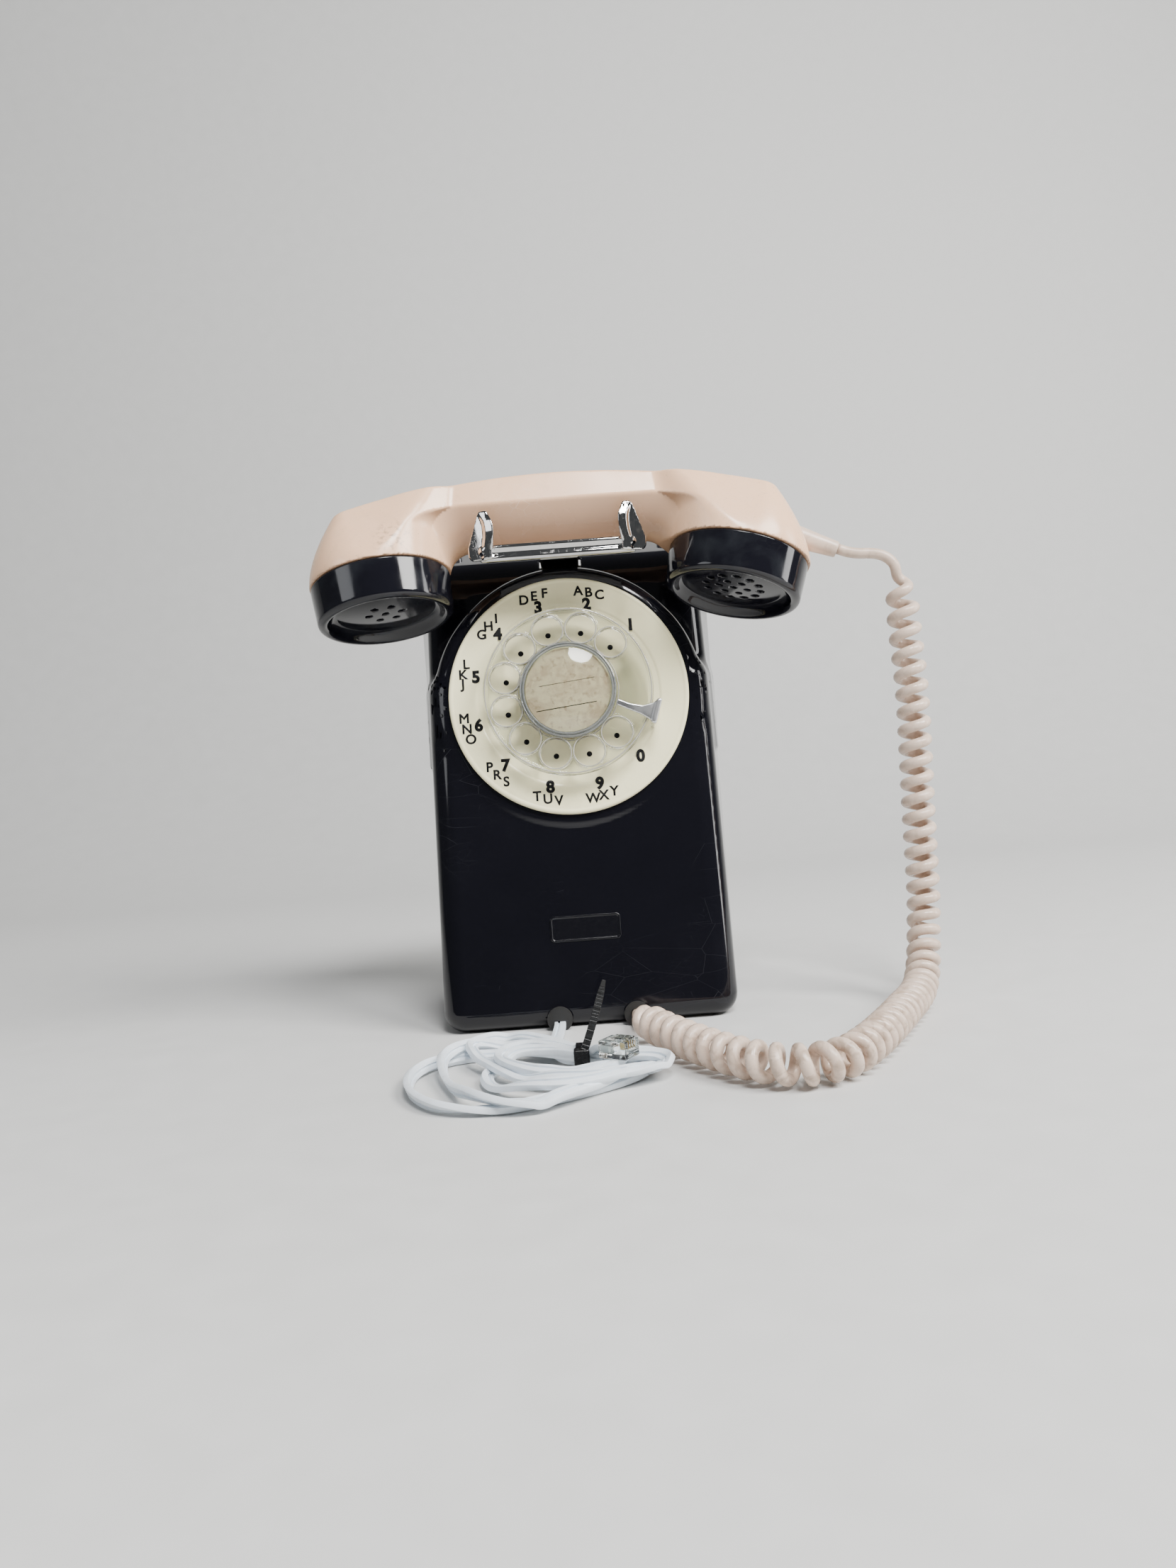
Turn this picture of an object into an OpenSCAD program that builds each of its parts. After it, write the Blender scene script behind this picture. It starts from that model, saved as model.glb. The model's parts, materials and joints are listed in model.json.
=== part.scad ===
// Rotary wall telephone with a handset on a cradle hook, a curly handset cord and a flat line cord.
// Millimetres. +X is the viewer's right, the dial faces -Y, +Z is up, and the phone stands on z = 0.

/* [Housing] */
// Height of the housing
body_h = 227; // [222:1:234]
// Width at the bottom of the back edge
body_w = 150; // [147:1:154]
// Depth from the wall to the foot of the front face
body_d = 92; // [90:1:94]
// Backward slope of the front face, in degrees
face_lean = 9; // [8:0.5:10]
// Thickness of the moulded wall
wall = 2.6; // [2.2:0.1:3]

/* [Dial] */
// Height of the dial's centre above the table
dial_z = 147; // [145:1:149]
// Diameter of the number plate
plate_d = 109.4; // [108:0.2:111]
// Diameter of the clear finger wheel
wheel_d = 76.2; // [75:0.2:77]
// Radius of the circle of finger holes
hole_circle = 28.9; // [28:0.1:29.5]
// Diameter of one finger hole
finger_hole_d = 13; // [12:0.1:13.4]

/* [Handset] */
// Length of the handset over its ends
handset_len = 225; // [222:1:228]
// Distance between the centres of the two caps
cap_spacing = 162; // [160:1:164]
// Diameter of each cap
cap_d = 63; // [62:0.2:63.6]
// Height of the cap's rim above the table
handset_z = 203; // [202:1:205]
// Lean of the handset on its hook, in degrees
handset_lean = 13; // [12:0.5:14]

/* [Cords] */
// Outer diameter of the curly cord's turns
coil_d = 16; // [15:0.5:17]
// Diameter of the round cord itself
lead_d = 5.5; // [5:0.1:5.6]
// Width of the flat line cord
flat_w = 5; // [4.6:0.1:5.2]

/* [Hidden] */
$fn = 64;

// Depths are measured forward from the wall plane, and yd() turns a depth into a y.
half_d = 53.2;
function yd(depth) = half_d - depth;
function face_depth(z) = body_d - z * tan(face_lean);

// Housing corners
corner_r = 10;
back_r = 12;
top_r = 14;
shoulder_z = 162;
upper_d = 41;
top_slope = 23.2;
screw_depth = 14;
body_w_top = body_w - 4;
front_w = 130;
front_w_top = 127;

// Dial
dial_depth = face_depth(dial_z);
dial_y = yd(dial_depth);
boss_r = 62.5;
boss_fillet = 7.5;
boss_back = 34;
dial_hole_r = 50;
plate_low = 0.2;
plate_t = 3;
wheel_low = 9.4;
wheel_t = 2.4;
hub_r = 21.6;
card_r = 18.9;
hole_step = 30;
hole_first = 45;
hole_count = 10;
shaft_r = 3;
run_gap = 0.05;
stop_angle = -18;
stop_w = 11.4;
gear_m = 0.72;
gear_teeth = 72;
pinion_teeth = 12;
gear_r = gear_m * gear_teeth / 2;
pinion_r = gear_m * pinion_teeth / 2;
gear_mid = gear_r + pinion_r + 0.4;
frame_back = -24;

// Handset
handset_y = yd(dial_depth + 3);
half_span = cap_spacing / 2;
cap_r = cap_d / 2;
receiver_tilt = 7;
transmitter_tilt = 15;
cap_h = 18;
handle_low = 12.5;
handle_crease = 27.7;
back_high = 42;
back_corner_x = 98.4;
back_corner_z = 27.7;
handle_half_w = 17;

// Hook
pivot_depth = 16;
pivot_z = 192;
tray_top = handset_z + handle_low * cos(handset_lean) - 0.6;
tray_half_w = 34.4;
tray_bar_r = 3.3;
tray_front = 84;
arm_half_w = 9;

// Inside
floor_z = 8;
ringer_x = 25;
gong_r = 19;
gong_off = 22;
gong_z = 52;
clapper_top = 84;
volume_x = 25;
volume_z = 18.5;
volume_r = 12;
volume_pin_r = 1.45;
mount_pitch = 83.3;
mount_r = 3.2;
mount_z = 118;

// Routes of the free cords: points on the centreline
grommet_x = 20;
line_grommet_x = -14;
lead_route = [
    [126, -19, 204], [130, -19, 202.4], [135, -19, 201.3], [140, -19, 201], [144, -19, 200.3],
    [148, -19, 198.4], [151, -19, 195.3], [152.6, -19, 192], [153, -19, 189]
];
coil_route = [
    [153, -19, 189], [154, -19, 165], [155, -20, 140], [155, -20, 115], [154.6, -20, 90], [154.4, -20, 65],
    [154, -21, 46], [152, -25, 30], [148.4, -34, 17], [143, -47, 10], [136, -62, 8.2], [127, -80, 8.2],
    [118, -98, 8.2], [109, -115, 8.2], [99, -132, 8.2], [89, -145, 8.2], [77, -151, 8.2], [65, -148, 8.2],
    [55, -138, 8.2], [46, -124, 8.2], [38, -108, 8.2], [31, -92, 8.2], [25, -76, 8.2], [22, -62, 8.2]
];
coil_end_route = [[22, -62, 8.2], [21, -56, 6.4], [20.4, -50.5, 4.8], [20, -45, 4.5], [20, -38.4, 4.5]];
line_route = [
    [-14, -38.4, 2.6], [-14, -44, 2.4], [-14.4, -52, 2.2], [-15, -62, 1.8], [-15.4, -72, 1.8], [-15, -82, 2]
];
bundle_outline = [
    [-58, -106, 14], [-44, -77, 13], [-32, -147, 16], [-4, -104, 16], [16, -130, 15]
];
bundle_h = 8;
flat_h = 2.4;

function pick(points, i) = points[max(0, min(len(points) - 1, i))];
function along(points, i) = pick(points, i + 1) - pick(points, i - 1);
function unit(v) = v / norm(v);

// The sideways direction at point i, carried along from the route's start without twist
function side_at(route, i) = let (
    d = unit(along(route, i)),
    before = i > 0 ? side_at(route, i - 1) : cross(d, abs(d[2]) > 0.9 ? [0, 1, 0] : [0, 0, 1])
) unit(before - (before * d) * d);

// A tube of n sides along the route, one ring to a point: r is half its width and rise half its thickness
module tube(route, r, rise, n = 10) {
    last = len(route) - 1;
    rings = [
        for (i = [0 : last])
            let (s = side_at(route, i), u = cross(s, unit(along(route, i))))
            for (k = [0 : n - 1]) route[i] + r * cos(360 * (k + 0.5) / n) * s + rise * sin(360 * (k + 0.5) / n) * u
    ];
    sides = [
        for (i = [0 : last - 1], k = [0 : n - 1])
            let (a = i * n + k, b = i * n + (k + 1) % n) each [[a, b, a + n], [b, b + n, a + n]]
    ];
    ends = [[for (k = [n - 1 : -1 : 0]) k], [for (k = [0 : n - 1]) last * n + k]];
    polyhedron(points = rings, faces = concat(sides, ends), convexity = 6);
}

// The dial's frame: its centre on the front face, local +Z straight out of the face, +Y up along it
module on_dial() {
    translate([0, dial_y, dial_z]) rotate([90 - face_lean, 0, 0]) children();
}

// The handset's frame: midway between the caps' rims, leaning back
module on_handset() {
    translate([0, handset_y, handset_z]) rotate([-handset_lean, 0, 0]) children();
}

// A cap's frame: centre of its rim, local -Z out of the cap; side is -1 for the ear end, 1 for the mouth end
module on_cap(side) {
    tilt = side < 0 ? receiver_tilt : transmitter_tilt;
    on_handset() translate([side * half_span, 0, 0]) rotate([0, side * tilt, 0]) children();
}

// A post along y, from depth d0 to depth d1
module post(x, z, r, d0, d1) {
    translate([x, yd(d1), z]) rotate([-90, 0, 0]) cylinder(r = r, h = d1 - d0);
}

// A box from depth d0 to depth d1
module slab(x0, x1, d0, d1, z0, z1) {
    translate([x0, yd(d1), z0]) cube([x1 - x0, d1 - d0, z1 - z0]);
}

module rounded_slab(x0, x1, d0, d1, z0, z1, r) {
    translate([0, yd(d1), 0]) rotate([90, 0, 0]) mirror([0, 0, 1]) linear_extrude(d1 - d0)
        translate([x0 + r, z0 + r]) offset_square(x1 - x0 - 2 * r, z1 - z0 - 2 * r, r);
}

// A rectangle w by h whose corners are grown by circles of radius r
module offset_square(w, h, r) {
    translate([0, -r]) square([w, h + 2 * r]);
    translate([-r, 0]) square([w + 2 * r, h]);
    for (x = [0, w], y = [0, h]) translate([x, y]) circle(r);
}

// ---- Housing ----

// The lower block, shrunk by t all round
module lower_block(t) {
    hull() for (s = [-1, 1]) {
        post(s * (body_w / 2 - back_r), back_r, back_r - t, t > 0 ? -1 : 0, 2, $fn = 32);
        post(s * (body_w_top / 2 - back_r), shoulder_z - back_r, back_r - t, t > 0 ? -1 : 0, 2, $fn = 32);
        front_ball(s * (front_w / 2 - corner_r), corner_r, corner_r - t);
        front_ball(s * (front_w_top / 2 - corner_r), shoulder_z - corner_r, corner_r - t);
    }
}

// A ball that touches the front face from inside
module front_ball(x, z, r) {
    translate([x, yd(face_depth(z) - corner_r / cos(face_lean)), z]) sphere(r, $fn = 32);
}

// The shallower upper block behind the handset, shrunk by t all round
module upper_block(t) {
    hull() for (s = [-1, 1]) {
        for (z = [shoulder_z - 22, body_h - top_r])
            post(s * (body_w_top / 2 - top_r), z, top_r - t, t > 0 ? -1 : 0, 2, $fn = 32);
        translate([s * 57, yd(upper_d - corner_r), shoulder_z - 22]) sphere(corner_r - t, $fn = 32);
        translate([s * 54, yd(upper_d - corner_r - 3), body_h - 22]) sphere(corner_r - t, $fn = 32);
    }
}

// The round boss that carries the dial above the shoulders, shrunk by t all round
module dial_boss(t) {
    r = boss_r - t;
    f = boss_fillet;
    on_dial() rotate_extrude($fn = 96) difference() {
        translate([0, -boss_back]) square([r, boss_back - t]);
        translate([r - f, -t - f]) difference() {
            square([f + 1, f + 1]);
            circle(f);
        }
    }
}

module housing() {
    color([0.02, 0.02, 0.025]) {
        difference() {
            union() {
                lower_block(0);
                upper_block(0);
                dial_boss(0);
            }
            lower_block(wall);
            upper_block(wall);
            dial_boss(wall);
            on_dial() translate([0, 0, -boss_back]) cylinder(r = dial_hole_r, h = boss_back + 1);
            slab(-57, 57, 8, 74, -1, 5);
            slab(-arm_half_w - 2, arm_half_w + 2, upper_d - 19, upper_d + 3, body_h - 21, body_h + 1);
            cord_notch(grommet_x, 4.6);
            cord_notch(line_grommet_x, 4.6);
            top_screw_places() translate([0, 0, -10]) cylinder(r = 1.8, h = 20);
        }
        face_frame();
    }
}

// The two screws through the sloping top: centre of the head's seat, local +Z straight out
module top_screw_places() {
    for (x = [-52, 52])
        translate([x, yd(screw_depth), body_h - (screw_depth - 2) * tan(top_slope)]) rotate([top_slope, 0, 0])
            children();
}

// An arch through the front foot of the housing, for a cord's grommet
module cord_notch(x, r) {
    translate([x, yd(body_d + 2), 0]) rotate([-90, 0, 0]) {
        translate([0, -4.6, 0]) cylinder(r = r, h = 14);
        translate([-r, -4.6, 0]) cube([2 * r, 6, 14]);
    }
}

// The raised outline of a small blank nameplate low on the front
module face_frame() {
    translate([0, yd(face_depth(43)), 43]) rotate([90 - face_lean, 0, 0]) translate([0, 0, -0.6])
        linear_extrude(0.9) difference() {
            translate([-14, -4]) offset_square(28, 8, 1.8);
            translate([-14, -4]) offset_square(28, 8, 1.2);
        }
}

module base_plate() {
    color([0.55, 0.55, 0.5]) difference() {
        union() {
            rounded_slab(-66, 66, 0.2, 1.8, floor_z, 216, 8);
            slab(-54, 54, 1.8, 72, floor_z, floor_z + 1.6);
            for (x = [-52, 52]) slab(x - 4, x + 4, 1.8, 10, body_h - 21, body_h - 17);
            top_screw_places() translate([0, 0, -15]) cylinder(r = 4, h = 12);
        }
        for (z = [-1, 1]) post(0, mount_z + z * mount_pitch / 2, mount_r, -1, 4);
        post(-40, mount_z, 9, -1, 4);
        slab(volume_x - 14, volume_x + 14, 26, 34, floor_z - 1, floor_z + 3);
        top_screw_places() translate([0, 0, -20]) cylinder(r = 1.5, h = 20);
    }
}

module housing_screws() {
    color([0.75, 0.75, 0.72]) top_screw_places() {
        translate([0, 0, -13]) cylinder(r = 1.48, h = 13);
        difference() {
            cylinder(r = 3.2, h = 1.6);
            translate([-4, -0.4, 0.7]) cube([8, 0.8, 2]);
        }
    }
}

// Rubber bushings that the two cords come out through
module cord_grommets() {
    color([0.06, 0.06, 0.06]) {
        grommet(grommet_x, 4.5, lead_d / 2 + 0.1);
        difference() {
            grommet(line_grommet_x, 2.6, 0);
            slab(line_grommet_x - flat_w / 2, line_grommet_x + flat_w / 2, 70, body_d + 4, 1.3, 3.9);
        }
    }
}

module grommet(x, z, bore_r) {
    difference() {
        intersection() {
            union() {
                translate([x, yd(body_d), 4.6]) rotate([-90, 0, 0]) cylinder(r = 4.4, h = 7);
                translate([x, yd(body_d + 0.1), 4.6]) rotate([90, 0, 0]) cylinder(r = 5.6, h = 1.4);
            }
            slab(x - 6, x + 6, 70, body_d + 3, 0.1, 12);
        }
        if (bore_r > 0) translate([x, yd(body_d + 3), z]) rotate([-90, 0, 0]) cylinder(r = bore_r, h = 14);
    }
}

// ---- Hook and line switch ----

module hook_bracket() {
    color([0.7, 0.68, 0.6]) difference() {
        union() {
            slab(-26, 26, 1.8, 3.4, 170, 206);
            for (x = [-24, 22.4]) slab(x, x + 1.6, 3.4, 24, 182, 202);
        }
        translate([-30, yd(pivot_depth), pivot_z]) rotate([0, 90, 0]) cylinder(r = 2 + run_gap, h = 60);
    }
}

module hook_pin() {
    color([0.8, 0.8, 0.8]) translate([-25, yd(pivot_depth), pivot_z]) rotate([0, 90, 0]) {
        cylinder(r = 2, h = 50);
        translate([0, 0, -1]) cylinder(r = 3.4, h = 1);
        translate([0, 0, 50]) cylinder(r = 3.4, h = 1);
    }
}

// Leaf-spring contacts worked by the hook
module line_switch() {
    color([0.75, 0.6, 0.3]) {
        slab(-20, -8, 3.4, 14, 150, 156);
        for (i = [0 : 3]) slab(-18 + i * 2.4, -17.6 + i * 2.4, 5, 10, 156, 178);
    }
}

// Chrome cradle: pivot tube, arm, tray and two upturned ears
module cradle_hook() {
    color([0.85, 0.85, 0.87]) {
        difference() {
            union() {
                translate([-20, yd(pivot_depth), pivot_z]) rotate([0, 90, 0]) cylinder(r = 4.4, h = 40);
                hook_arm();
            }
            translate([-30, yd(pivot_depth), pivot_z]) rotate([0, 90, 0])
                cylinder(r = 2 + run_gap, h = 60);
        }
        hook_tray();
        for (s = [-1, 1]) hook_ear(s);
    }
}

module along_x(x0, x1) {
    translate([x0, 0, 0]) rotate([90, 0, 90]) linear_extrude(x1 - x0) children();
}

// The arm rises from the pivot, leaves through the slot in the top and runs forward over the dial's boss
module hook_arm() {
    low = tray_top - 5.4;
    along_x(-arm_half_w, arm_half_w) polygon([
        [yd(pivot_depth), pivot_z - 3], [yd(31), low], [yd(58), low + 2], [yd(60), tray_top - 1],
        [yd(28), low + 3], [yd(pivot_depth), pivot_z + 4]
    ]);
}

// The tray: a shallow dish under the handle with a round bar for its front lip
module hook_tray() {
    along_x(-tray_half_w, tray_half_w) {
        translate([yd(tray_front), tray_top - tray_bar_r]) circle(tray_bar_r);
        translate([yd(57), tray_top - 1.6]) circle(1.6);
        polygon([
            [yd(tray_front), tray_top - 2 * tray_bar_r], [yd(70), tray_top - 4.4], [yd(57), tray_top - 3.2],
            [yd(57), tray_top], [yd(70), tray_top - 0.9], [yd(tray_front), tray_top]
        ]);
    }
}

// An ear rises from the end of the front lip and flares outward and back
module hook_ear(s) {
    lift = tray_top - tray_bar_r;
    translate([s * 30.4, yd(91), lift]) mirror([s < 0 ? 1 : 0, 0, 0]) rotate([0, 0, 38]) intersection() {
        translate([-1.2, -1.2, -4]) cube([11.4, 2.4, 30]);
        union() {
            translate([0, 2, 6]) rotate([90, 0, 0]) cylinder(r = 9.6, h = 6);
            translate([-1.2, -2, -4]) cube([6, 6, 12]);
            translate([0, 2, 6]) rotate([90, 0, 0]) linear_extrude(6)
                polygon([[-1.2, 0], [9.4, 0], [2.6, 16.4], [1.2, 17.4], [-1.2, 17.4]]);
        }
    }
    translate([s * (tray_half_w - 2.6), yd(87), lift]) rotate([90, 0, 0])
        translate([0, 0, -4.4]) cylinder(r = 2.8, h = 9);
}

module switch_lever() {
    color([0.72, 0.72, 0.7]) slab(-16, -6, pivot_depth - 8, pivot_depth - 3, pivot_z - 12, pivot_z - 2);
}

// ---- Network and ringer ----

module network_block() {
    color([0.2, 0.16, 0.12]) {
        slab(-64, -22, 1.8, 30, 28, 104);
        slab(-62, -24, 30, 32, 30, 102);
    }
}

module network_screws() {
    color([0.8, 0.7, 0.4]) for (i = [0 : 4], x = [-58, -28]) post(x, 36 + i * 15, 2.4, 32, 34);
}

module ringer_frame() {
    color([0.62, 0.62, 0.6]) {
        slab(-4, 54, 1.8, 4, 40, 118);
        slab(-2, 52, 4, 30, 116, 118);
        slab(ringer_x - 4, ringer_x + 4, 4, 8, 80, 88);
        for (s = [-1, 1]) post(ringer_x + s * gong_off, gong_z, 3, 4, 22);
        post(volume_x, volume_z, 2, 20, 27.6);
        post(volume_x, volume_z, volume_pin_r, 27.6, 29.6);
        slab(volume_x - 5, volume_x + 5, 20, 23, volume_z, 40);
        slab(volume_x - 5, volume_x + 5, 4, 23, 40, 42);
    }
}

module ringer_coil() {
    color([0.5, 0.2, 0.1]) translate([ringer_x - 17, yd(24), 103]) rotate([0, 90, 0]) {
        cylinder(r = 10, h = 34);
        for (x = [-2, 34]) translate([0, 0, x]) cylinder(r = 12, h = 2);
    }
}

module gongs() {
    color([0.8, 0.66, 0.36]) for (s = [-1, 1])
        translate([ringer_x + s * gong_off, yd(22), gong_z]) rotate([90, 0, 0]) rotate_extrude() polygon([
            [1.9, 14], [12, 13.2], [16.6, 10.4], [18.6, 6], [gong_r, 0], [gong_r - 1.2, 0], [17.3, 5.6],
            [15.6, 9.4], [11.6, 11.8], [4, 12.4], [4, 0], [1.9, 0]
        ]);
}

module gong_screws() {
    color([0.7, 0.7, 0.7]) for (s = [-1, 1]) {
        post(ringer_x + s * gong_off, gong_z, 1.8, 22.2, 36.2);
        post(ringer_x + s * gong_off, gong_z, 3.6, 36.2, 38);
    }
}

module clapper() {
    color([0.7, 0.7, 0.72]) {
        post(ringer_x, clapper_top, 3, 8.4, 13);
        slab(ringer_x - 0.8, ringer_x + 0.8, 9, 11, gong_z, clapper_top);
        slab(ringer_x - 0.8, ringer_x + 0.8, 9, 24, gong_z - 0.8, gong_z + 0.8);
        translate([ringer_x, yd(24.6), gong_z]) sphere(1.7, $fn = 32);
    }
}

// Notched thumbwheel that pokes through the bottom
module volume_wheel() {
    color([0.1, 0.1, 0.1]) difference() {
        post(volume_x, volume_z, volume_r, 28, 32);
        for (a = [0 : 20 : 340])
            post(volume_x + (volume_r + 0.6) * cos(a), volume_z + (volume_r + 0.6) * sin(a), 1.2, 27, 33);
        post(volume_x, volume_z, volume_pin_r + run_gap, 27, 29.8);
    }
}

// ---- Dial, fixed parts ----

module dial_bracket() {
    color([0.66, 0.66, 0.62]) for (x = [-42, 38]) {
        slab(x, x + 4, 1.8, 26, 130, 160);
        on_dial() translate([x, 4.6, frame_back - 22]) cube([4, 9, 22]);
    }
}

module gear_plate(z, r) {
    translate([0, 0, z]) difference() {
        cylinder(r = r, h = 1.5);
        translate([0, 0, -1]) cylinder(r = shaft_r + run_gap, h = 4);
        translate([gear_mid, 0, -1]) cylinder(r = 1.5 + run_gap, h = 4);
    }
}

module dial_frame() {
    color([0.72, 0.7, 0.62]) on_dial() {
        gear_plate(-4, 46);
        gear_plate(frame_back, 42);
        for (a = [100, 180, 260]) rotate([0, 0, a]) translate([38, 0, frame_back + 1.5])
            cylinder(r = 3, h = -5.5 - frame_back);
        difference() {
            translate([0, 0, -2.5]) cylinder(r = 49.4, h = 1.5);
            translate([0, 0, -3]) cylinder(r = 44, h = 3);
        }
    }
}

module dial_screws() {
    color([0.8, 0.8, 0.78]) on_dial() for (a = [100, 180, 260]) rotate([0, 0, a])
        translate([38, 0, frame_back - 1.6]) cylinder(r = 3.4, h = 1.6);
}

module number_plate() {
    color([0.93, 0.89, 0.75]) on_dial() difference() {
        rotate_extrude($fn = 128) {
            translate([9, plate_low]) square([plate_d / 2 - 10.5, plate_t - 0.6]);
            translate([plate_d / 2 - 1.5, plate_low + 1.5]) circle(1.5);
            translate([42, plate_low]) square([plate_d / 2 - 43.5, plate_t]);
        }
        translate([0, 0, -1]) cylinder(r = 9.5, h = 6);
        stop_place() translate([39.4, -stop_w / 2 - 0.4, -1]) cube([2.2, stop_w + 0.8, 8]);
    }
}

module stop_place() {
    rotate([0, 0, stop_angle]) children();
}

// Polished stop: a stem outside the wheel and a tongue that reaches in over it
module finger_stop() {
    color([0.8, 0.8, 0.82]) on_dial() stop_place() {
        translate([39.6, -stop_w / 2, -0.8]) cube([1.8, stop_w, 15.8]);
        translate([0, 0, 13.2]) linear_extrude(1.6)
            polygon([
                [22.1, -1.4], [28, -2.4], [34, -3.2], [37.6, -4.4], [41.4, -stop_w / 2], [41.4, stop_w / 2],
                [37.6, 2.8], [34, 0.6], [28, 0.2], [22.1, 1.2]
            ]);
    }
}

module pulse_contacts() {
    color([0.75, 0.6, 0.3]) on_dial() {
        translate([gear_mid - 13, 6, -21]) cube([8, 4, 7]);
        for (y = [6.6, 8.4]) translate([gear_mid - 5, y, -19]) cube([10, 0.5, 3]);
    }
}

// Flat spiral spring that winds the dial back
module return_spring() {
    spiral_turns = 4;
    steps = 24 * spiral_turns;
    function at(i, w) = (4.6 + i * 1.9 / 24 + w) * [cos(15 * i), sin(15 * i)];
    color([0.35, 0.37, 0.4]) on_dial() translate([0, 0, -19]) linear_extrude(4) polygon(concat(
        [for (i = [0 : steps]) at(i, 0)], [for (i = [steps : -1 : 0]) at(i, 0.5)]
    ));
}

module governor_bearings() {
    color([0.72, 0.7, 0.62]) on_dial() for (y = [-34, -10.4]) difference() {
        translate([gear_mid - 10.9, y, -22.5]) cube([7, 1.6, 12.6]);
        translate([gear_mid - 7.4, y - 1, -12]) rotate([-90, 0, 0]) cylinder(r = 1 + run_gap, h = 4);
    }
}

// ---- Dial, turning parts ----

module finger_wheel() {
    color([0.92, 0.95, 0.95, 0.4]) on_dial() difference() {
        translate([0, 0, wheel_low]) {
            cylinder(r = wheel_d / 2, h = wheel_t, $fn = 128);
            translate([0, 0, -1]) cylinder(r = hub_r, h = wheel_t);
        }
        translate([0, 0, wheel_low - 2]) cylinder(r = shaft_r + 2, h = 6);
        for (i = [0 : hole_count - 1]) rotate([0, 0, hole_first + i * hole_step])
            translate([hole_circle, 0, wheel_low - 1]) cylinder(r = finger_hole_d / 2, h = wheel_t + 2);
    }
}

// Clear ring that clamps the wheel to the shaft and holds the card
module dial_hub() {
    color([0.75, 0.78, 0.8, 0.6]) on_dial() translate([0, 0, wheel_low + wheel_t]) difference() {
        cylinder(r = hub_r, h = 3.4);
        translate([0, 0, 0.8]) cylinder(r = hub_r - 2, h = 4);
        translate([0, 0, -1]) cylinder(r = 2.4, h = 4);
    }
}

module number_card() {
    color([0.9, 0.87, 0.8]) on_dial() translate([0, 0, wheel_low + wheel_t + 0.9]) cylinder(r = card_r, h = 0.4);
}

// Clear domed window over the card
module card_window() {
    color([0.95, 0.97, 0.98, 0.3]) on_dial() translate([0, 0, wheel_low + wheel_t + 1.5])
        rotate_extrude() intersection() {
            translate([0, -58]) difference() {
                circle(62, $fn = 256);
                circle(60.6, $fn = 256);
            }
            translate([0, -0.1]) square([hub_r - 2.2, 6]);
        }
}

module dial_shaft() {
    color([0.8, 0.72, 0.45]) on_dial() {
        translate([0, 0, frame_back - 0.5]) cylinder(r = shaft_r, h = wheel_low + wheel_t - 0.2 - frame_back);
        translate([0, 0, wheel_low - 3.4]) cylinder(r = 8, h = 2.2);
    }
}

// Outline of a gear: n teeth, pitch radius r; share is the tooth's share of the pitch
module gear_outline(n, r, share) {
    polygon([
        for (i = [0 : n - 1])
            let (a = 360 * i / n, w = 360 * share / n)
            each [
                for (p = [[-w / 2 - 0.12 * 360 / n, -0.75], [-w / 2, 0.55], [w / 2, 0.55], [w / 2 + 0.12 * 360 / n, -0.75]])
                    (r + p[1]) * [cos(a + p[0]), sin(a + p[0])]
            ]
    ]);
}

module main_gear() {
    color([0.82, 0.68, 0.35]) on_dial() translate([0, 0, -9]) linear_extrude(1.6) difference() {
        gear_outline(gear_teeth, gear_r, 0.24);
        circle(shaft_r + 0.02);
        for (a = [0 : 60 : 300]) rotate(a) translate([15, 0]) circle(4.4);
    }
}

module pinion_shaft() {
    color([0.78, 0.78, 0.76]) on_dial() translate([gear_mid, 0, 0]) {
        translate([0, 0, frame_back - 0.4]) cylinder(r = 1.5, h = -2 - frame_back);
        translate([0, 0, -10]) linear_extrude(3.6) rotate(180 / pinion_teeth)
            gear_outline(pinion_teeth, pinion_r, 0.24);
    }
}

module pulse_cam() {
    color([0.2, 0.2, 0.2]) on_dial() translate([gear_mid, 0, -18]) linear_extrude(2) difference() {
        union() {
            circle(3.6);
            for (a = [0, 180]) rotate(a) translate([2.4, 0]) circle(2.6);
        }
        circle(1.52);
    }
}

module worm_wheel() {
    color([0.82, 0.68, 0.35]) on_dial() translate([gear_mid, 0, -13.4]) linear_extrude(2.6) difference() {
        circle(4.6);
        circle(1.52);
    }
}

module governor_worm() {
    color([0.6, 0.6, 0.62]) on_dial() translate([gear_mid - 7.4, -34.4, -12]) rotate([-90, 0, 0]) {
        cylinder(r = 1, h = 26.4);
        translate([0, 0, 19]) cylinder(r = 2, h = 4.6);
    }
}

module governor_weights() {
    color([0.8, 0.7, 0.4]) on_dial() translate([gear_mid - 7.4, -26, -12]) rotate([-90, 0, 0]) difference() {
        union() {
            cylinder(r = 3, h = 5);
            translate([-5.4, -1.5, 1]) cube([10.8, 3, 3]);
        }
        translate([0, 0, -1]) cylinder(r = 1.02, h = 8);
    }
}

// ---- Handset ----

// Height of the flat back along the handset, an arc through its middle and its two corners
arc_sag = back_high - back_corner_z;
arc_r = (back_corner_x * back_corner_x + arc_sag * arc_sag) / (2 * arc_sag);
function back_z(x) = back_high - arc_r + sqrt(arc_r * arc_r - x * x);

function smooth(t) = let (c = max(0, min(1, t))) c * c * (3 - 2 * c);
function mix(a, b, t) = a + (b - a) * t;
function tilt_at(x) = x < 0 ? receiver_tilt : transmitter_tilt;
function rim_z(x) = -(abs(x) - half_span) * tan(tilt_at(x));
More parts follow.
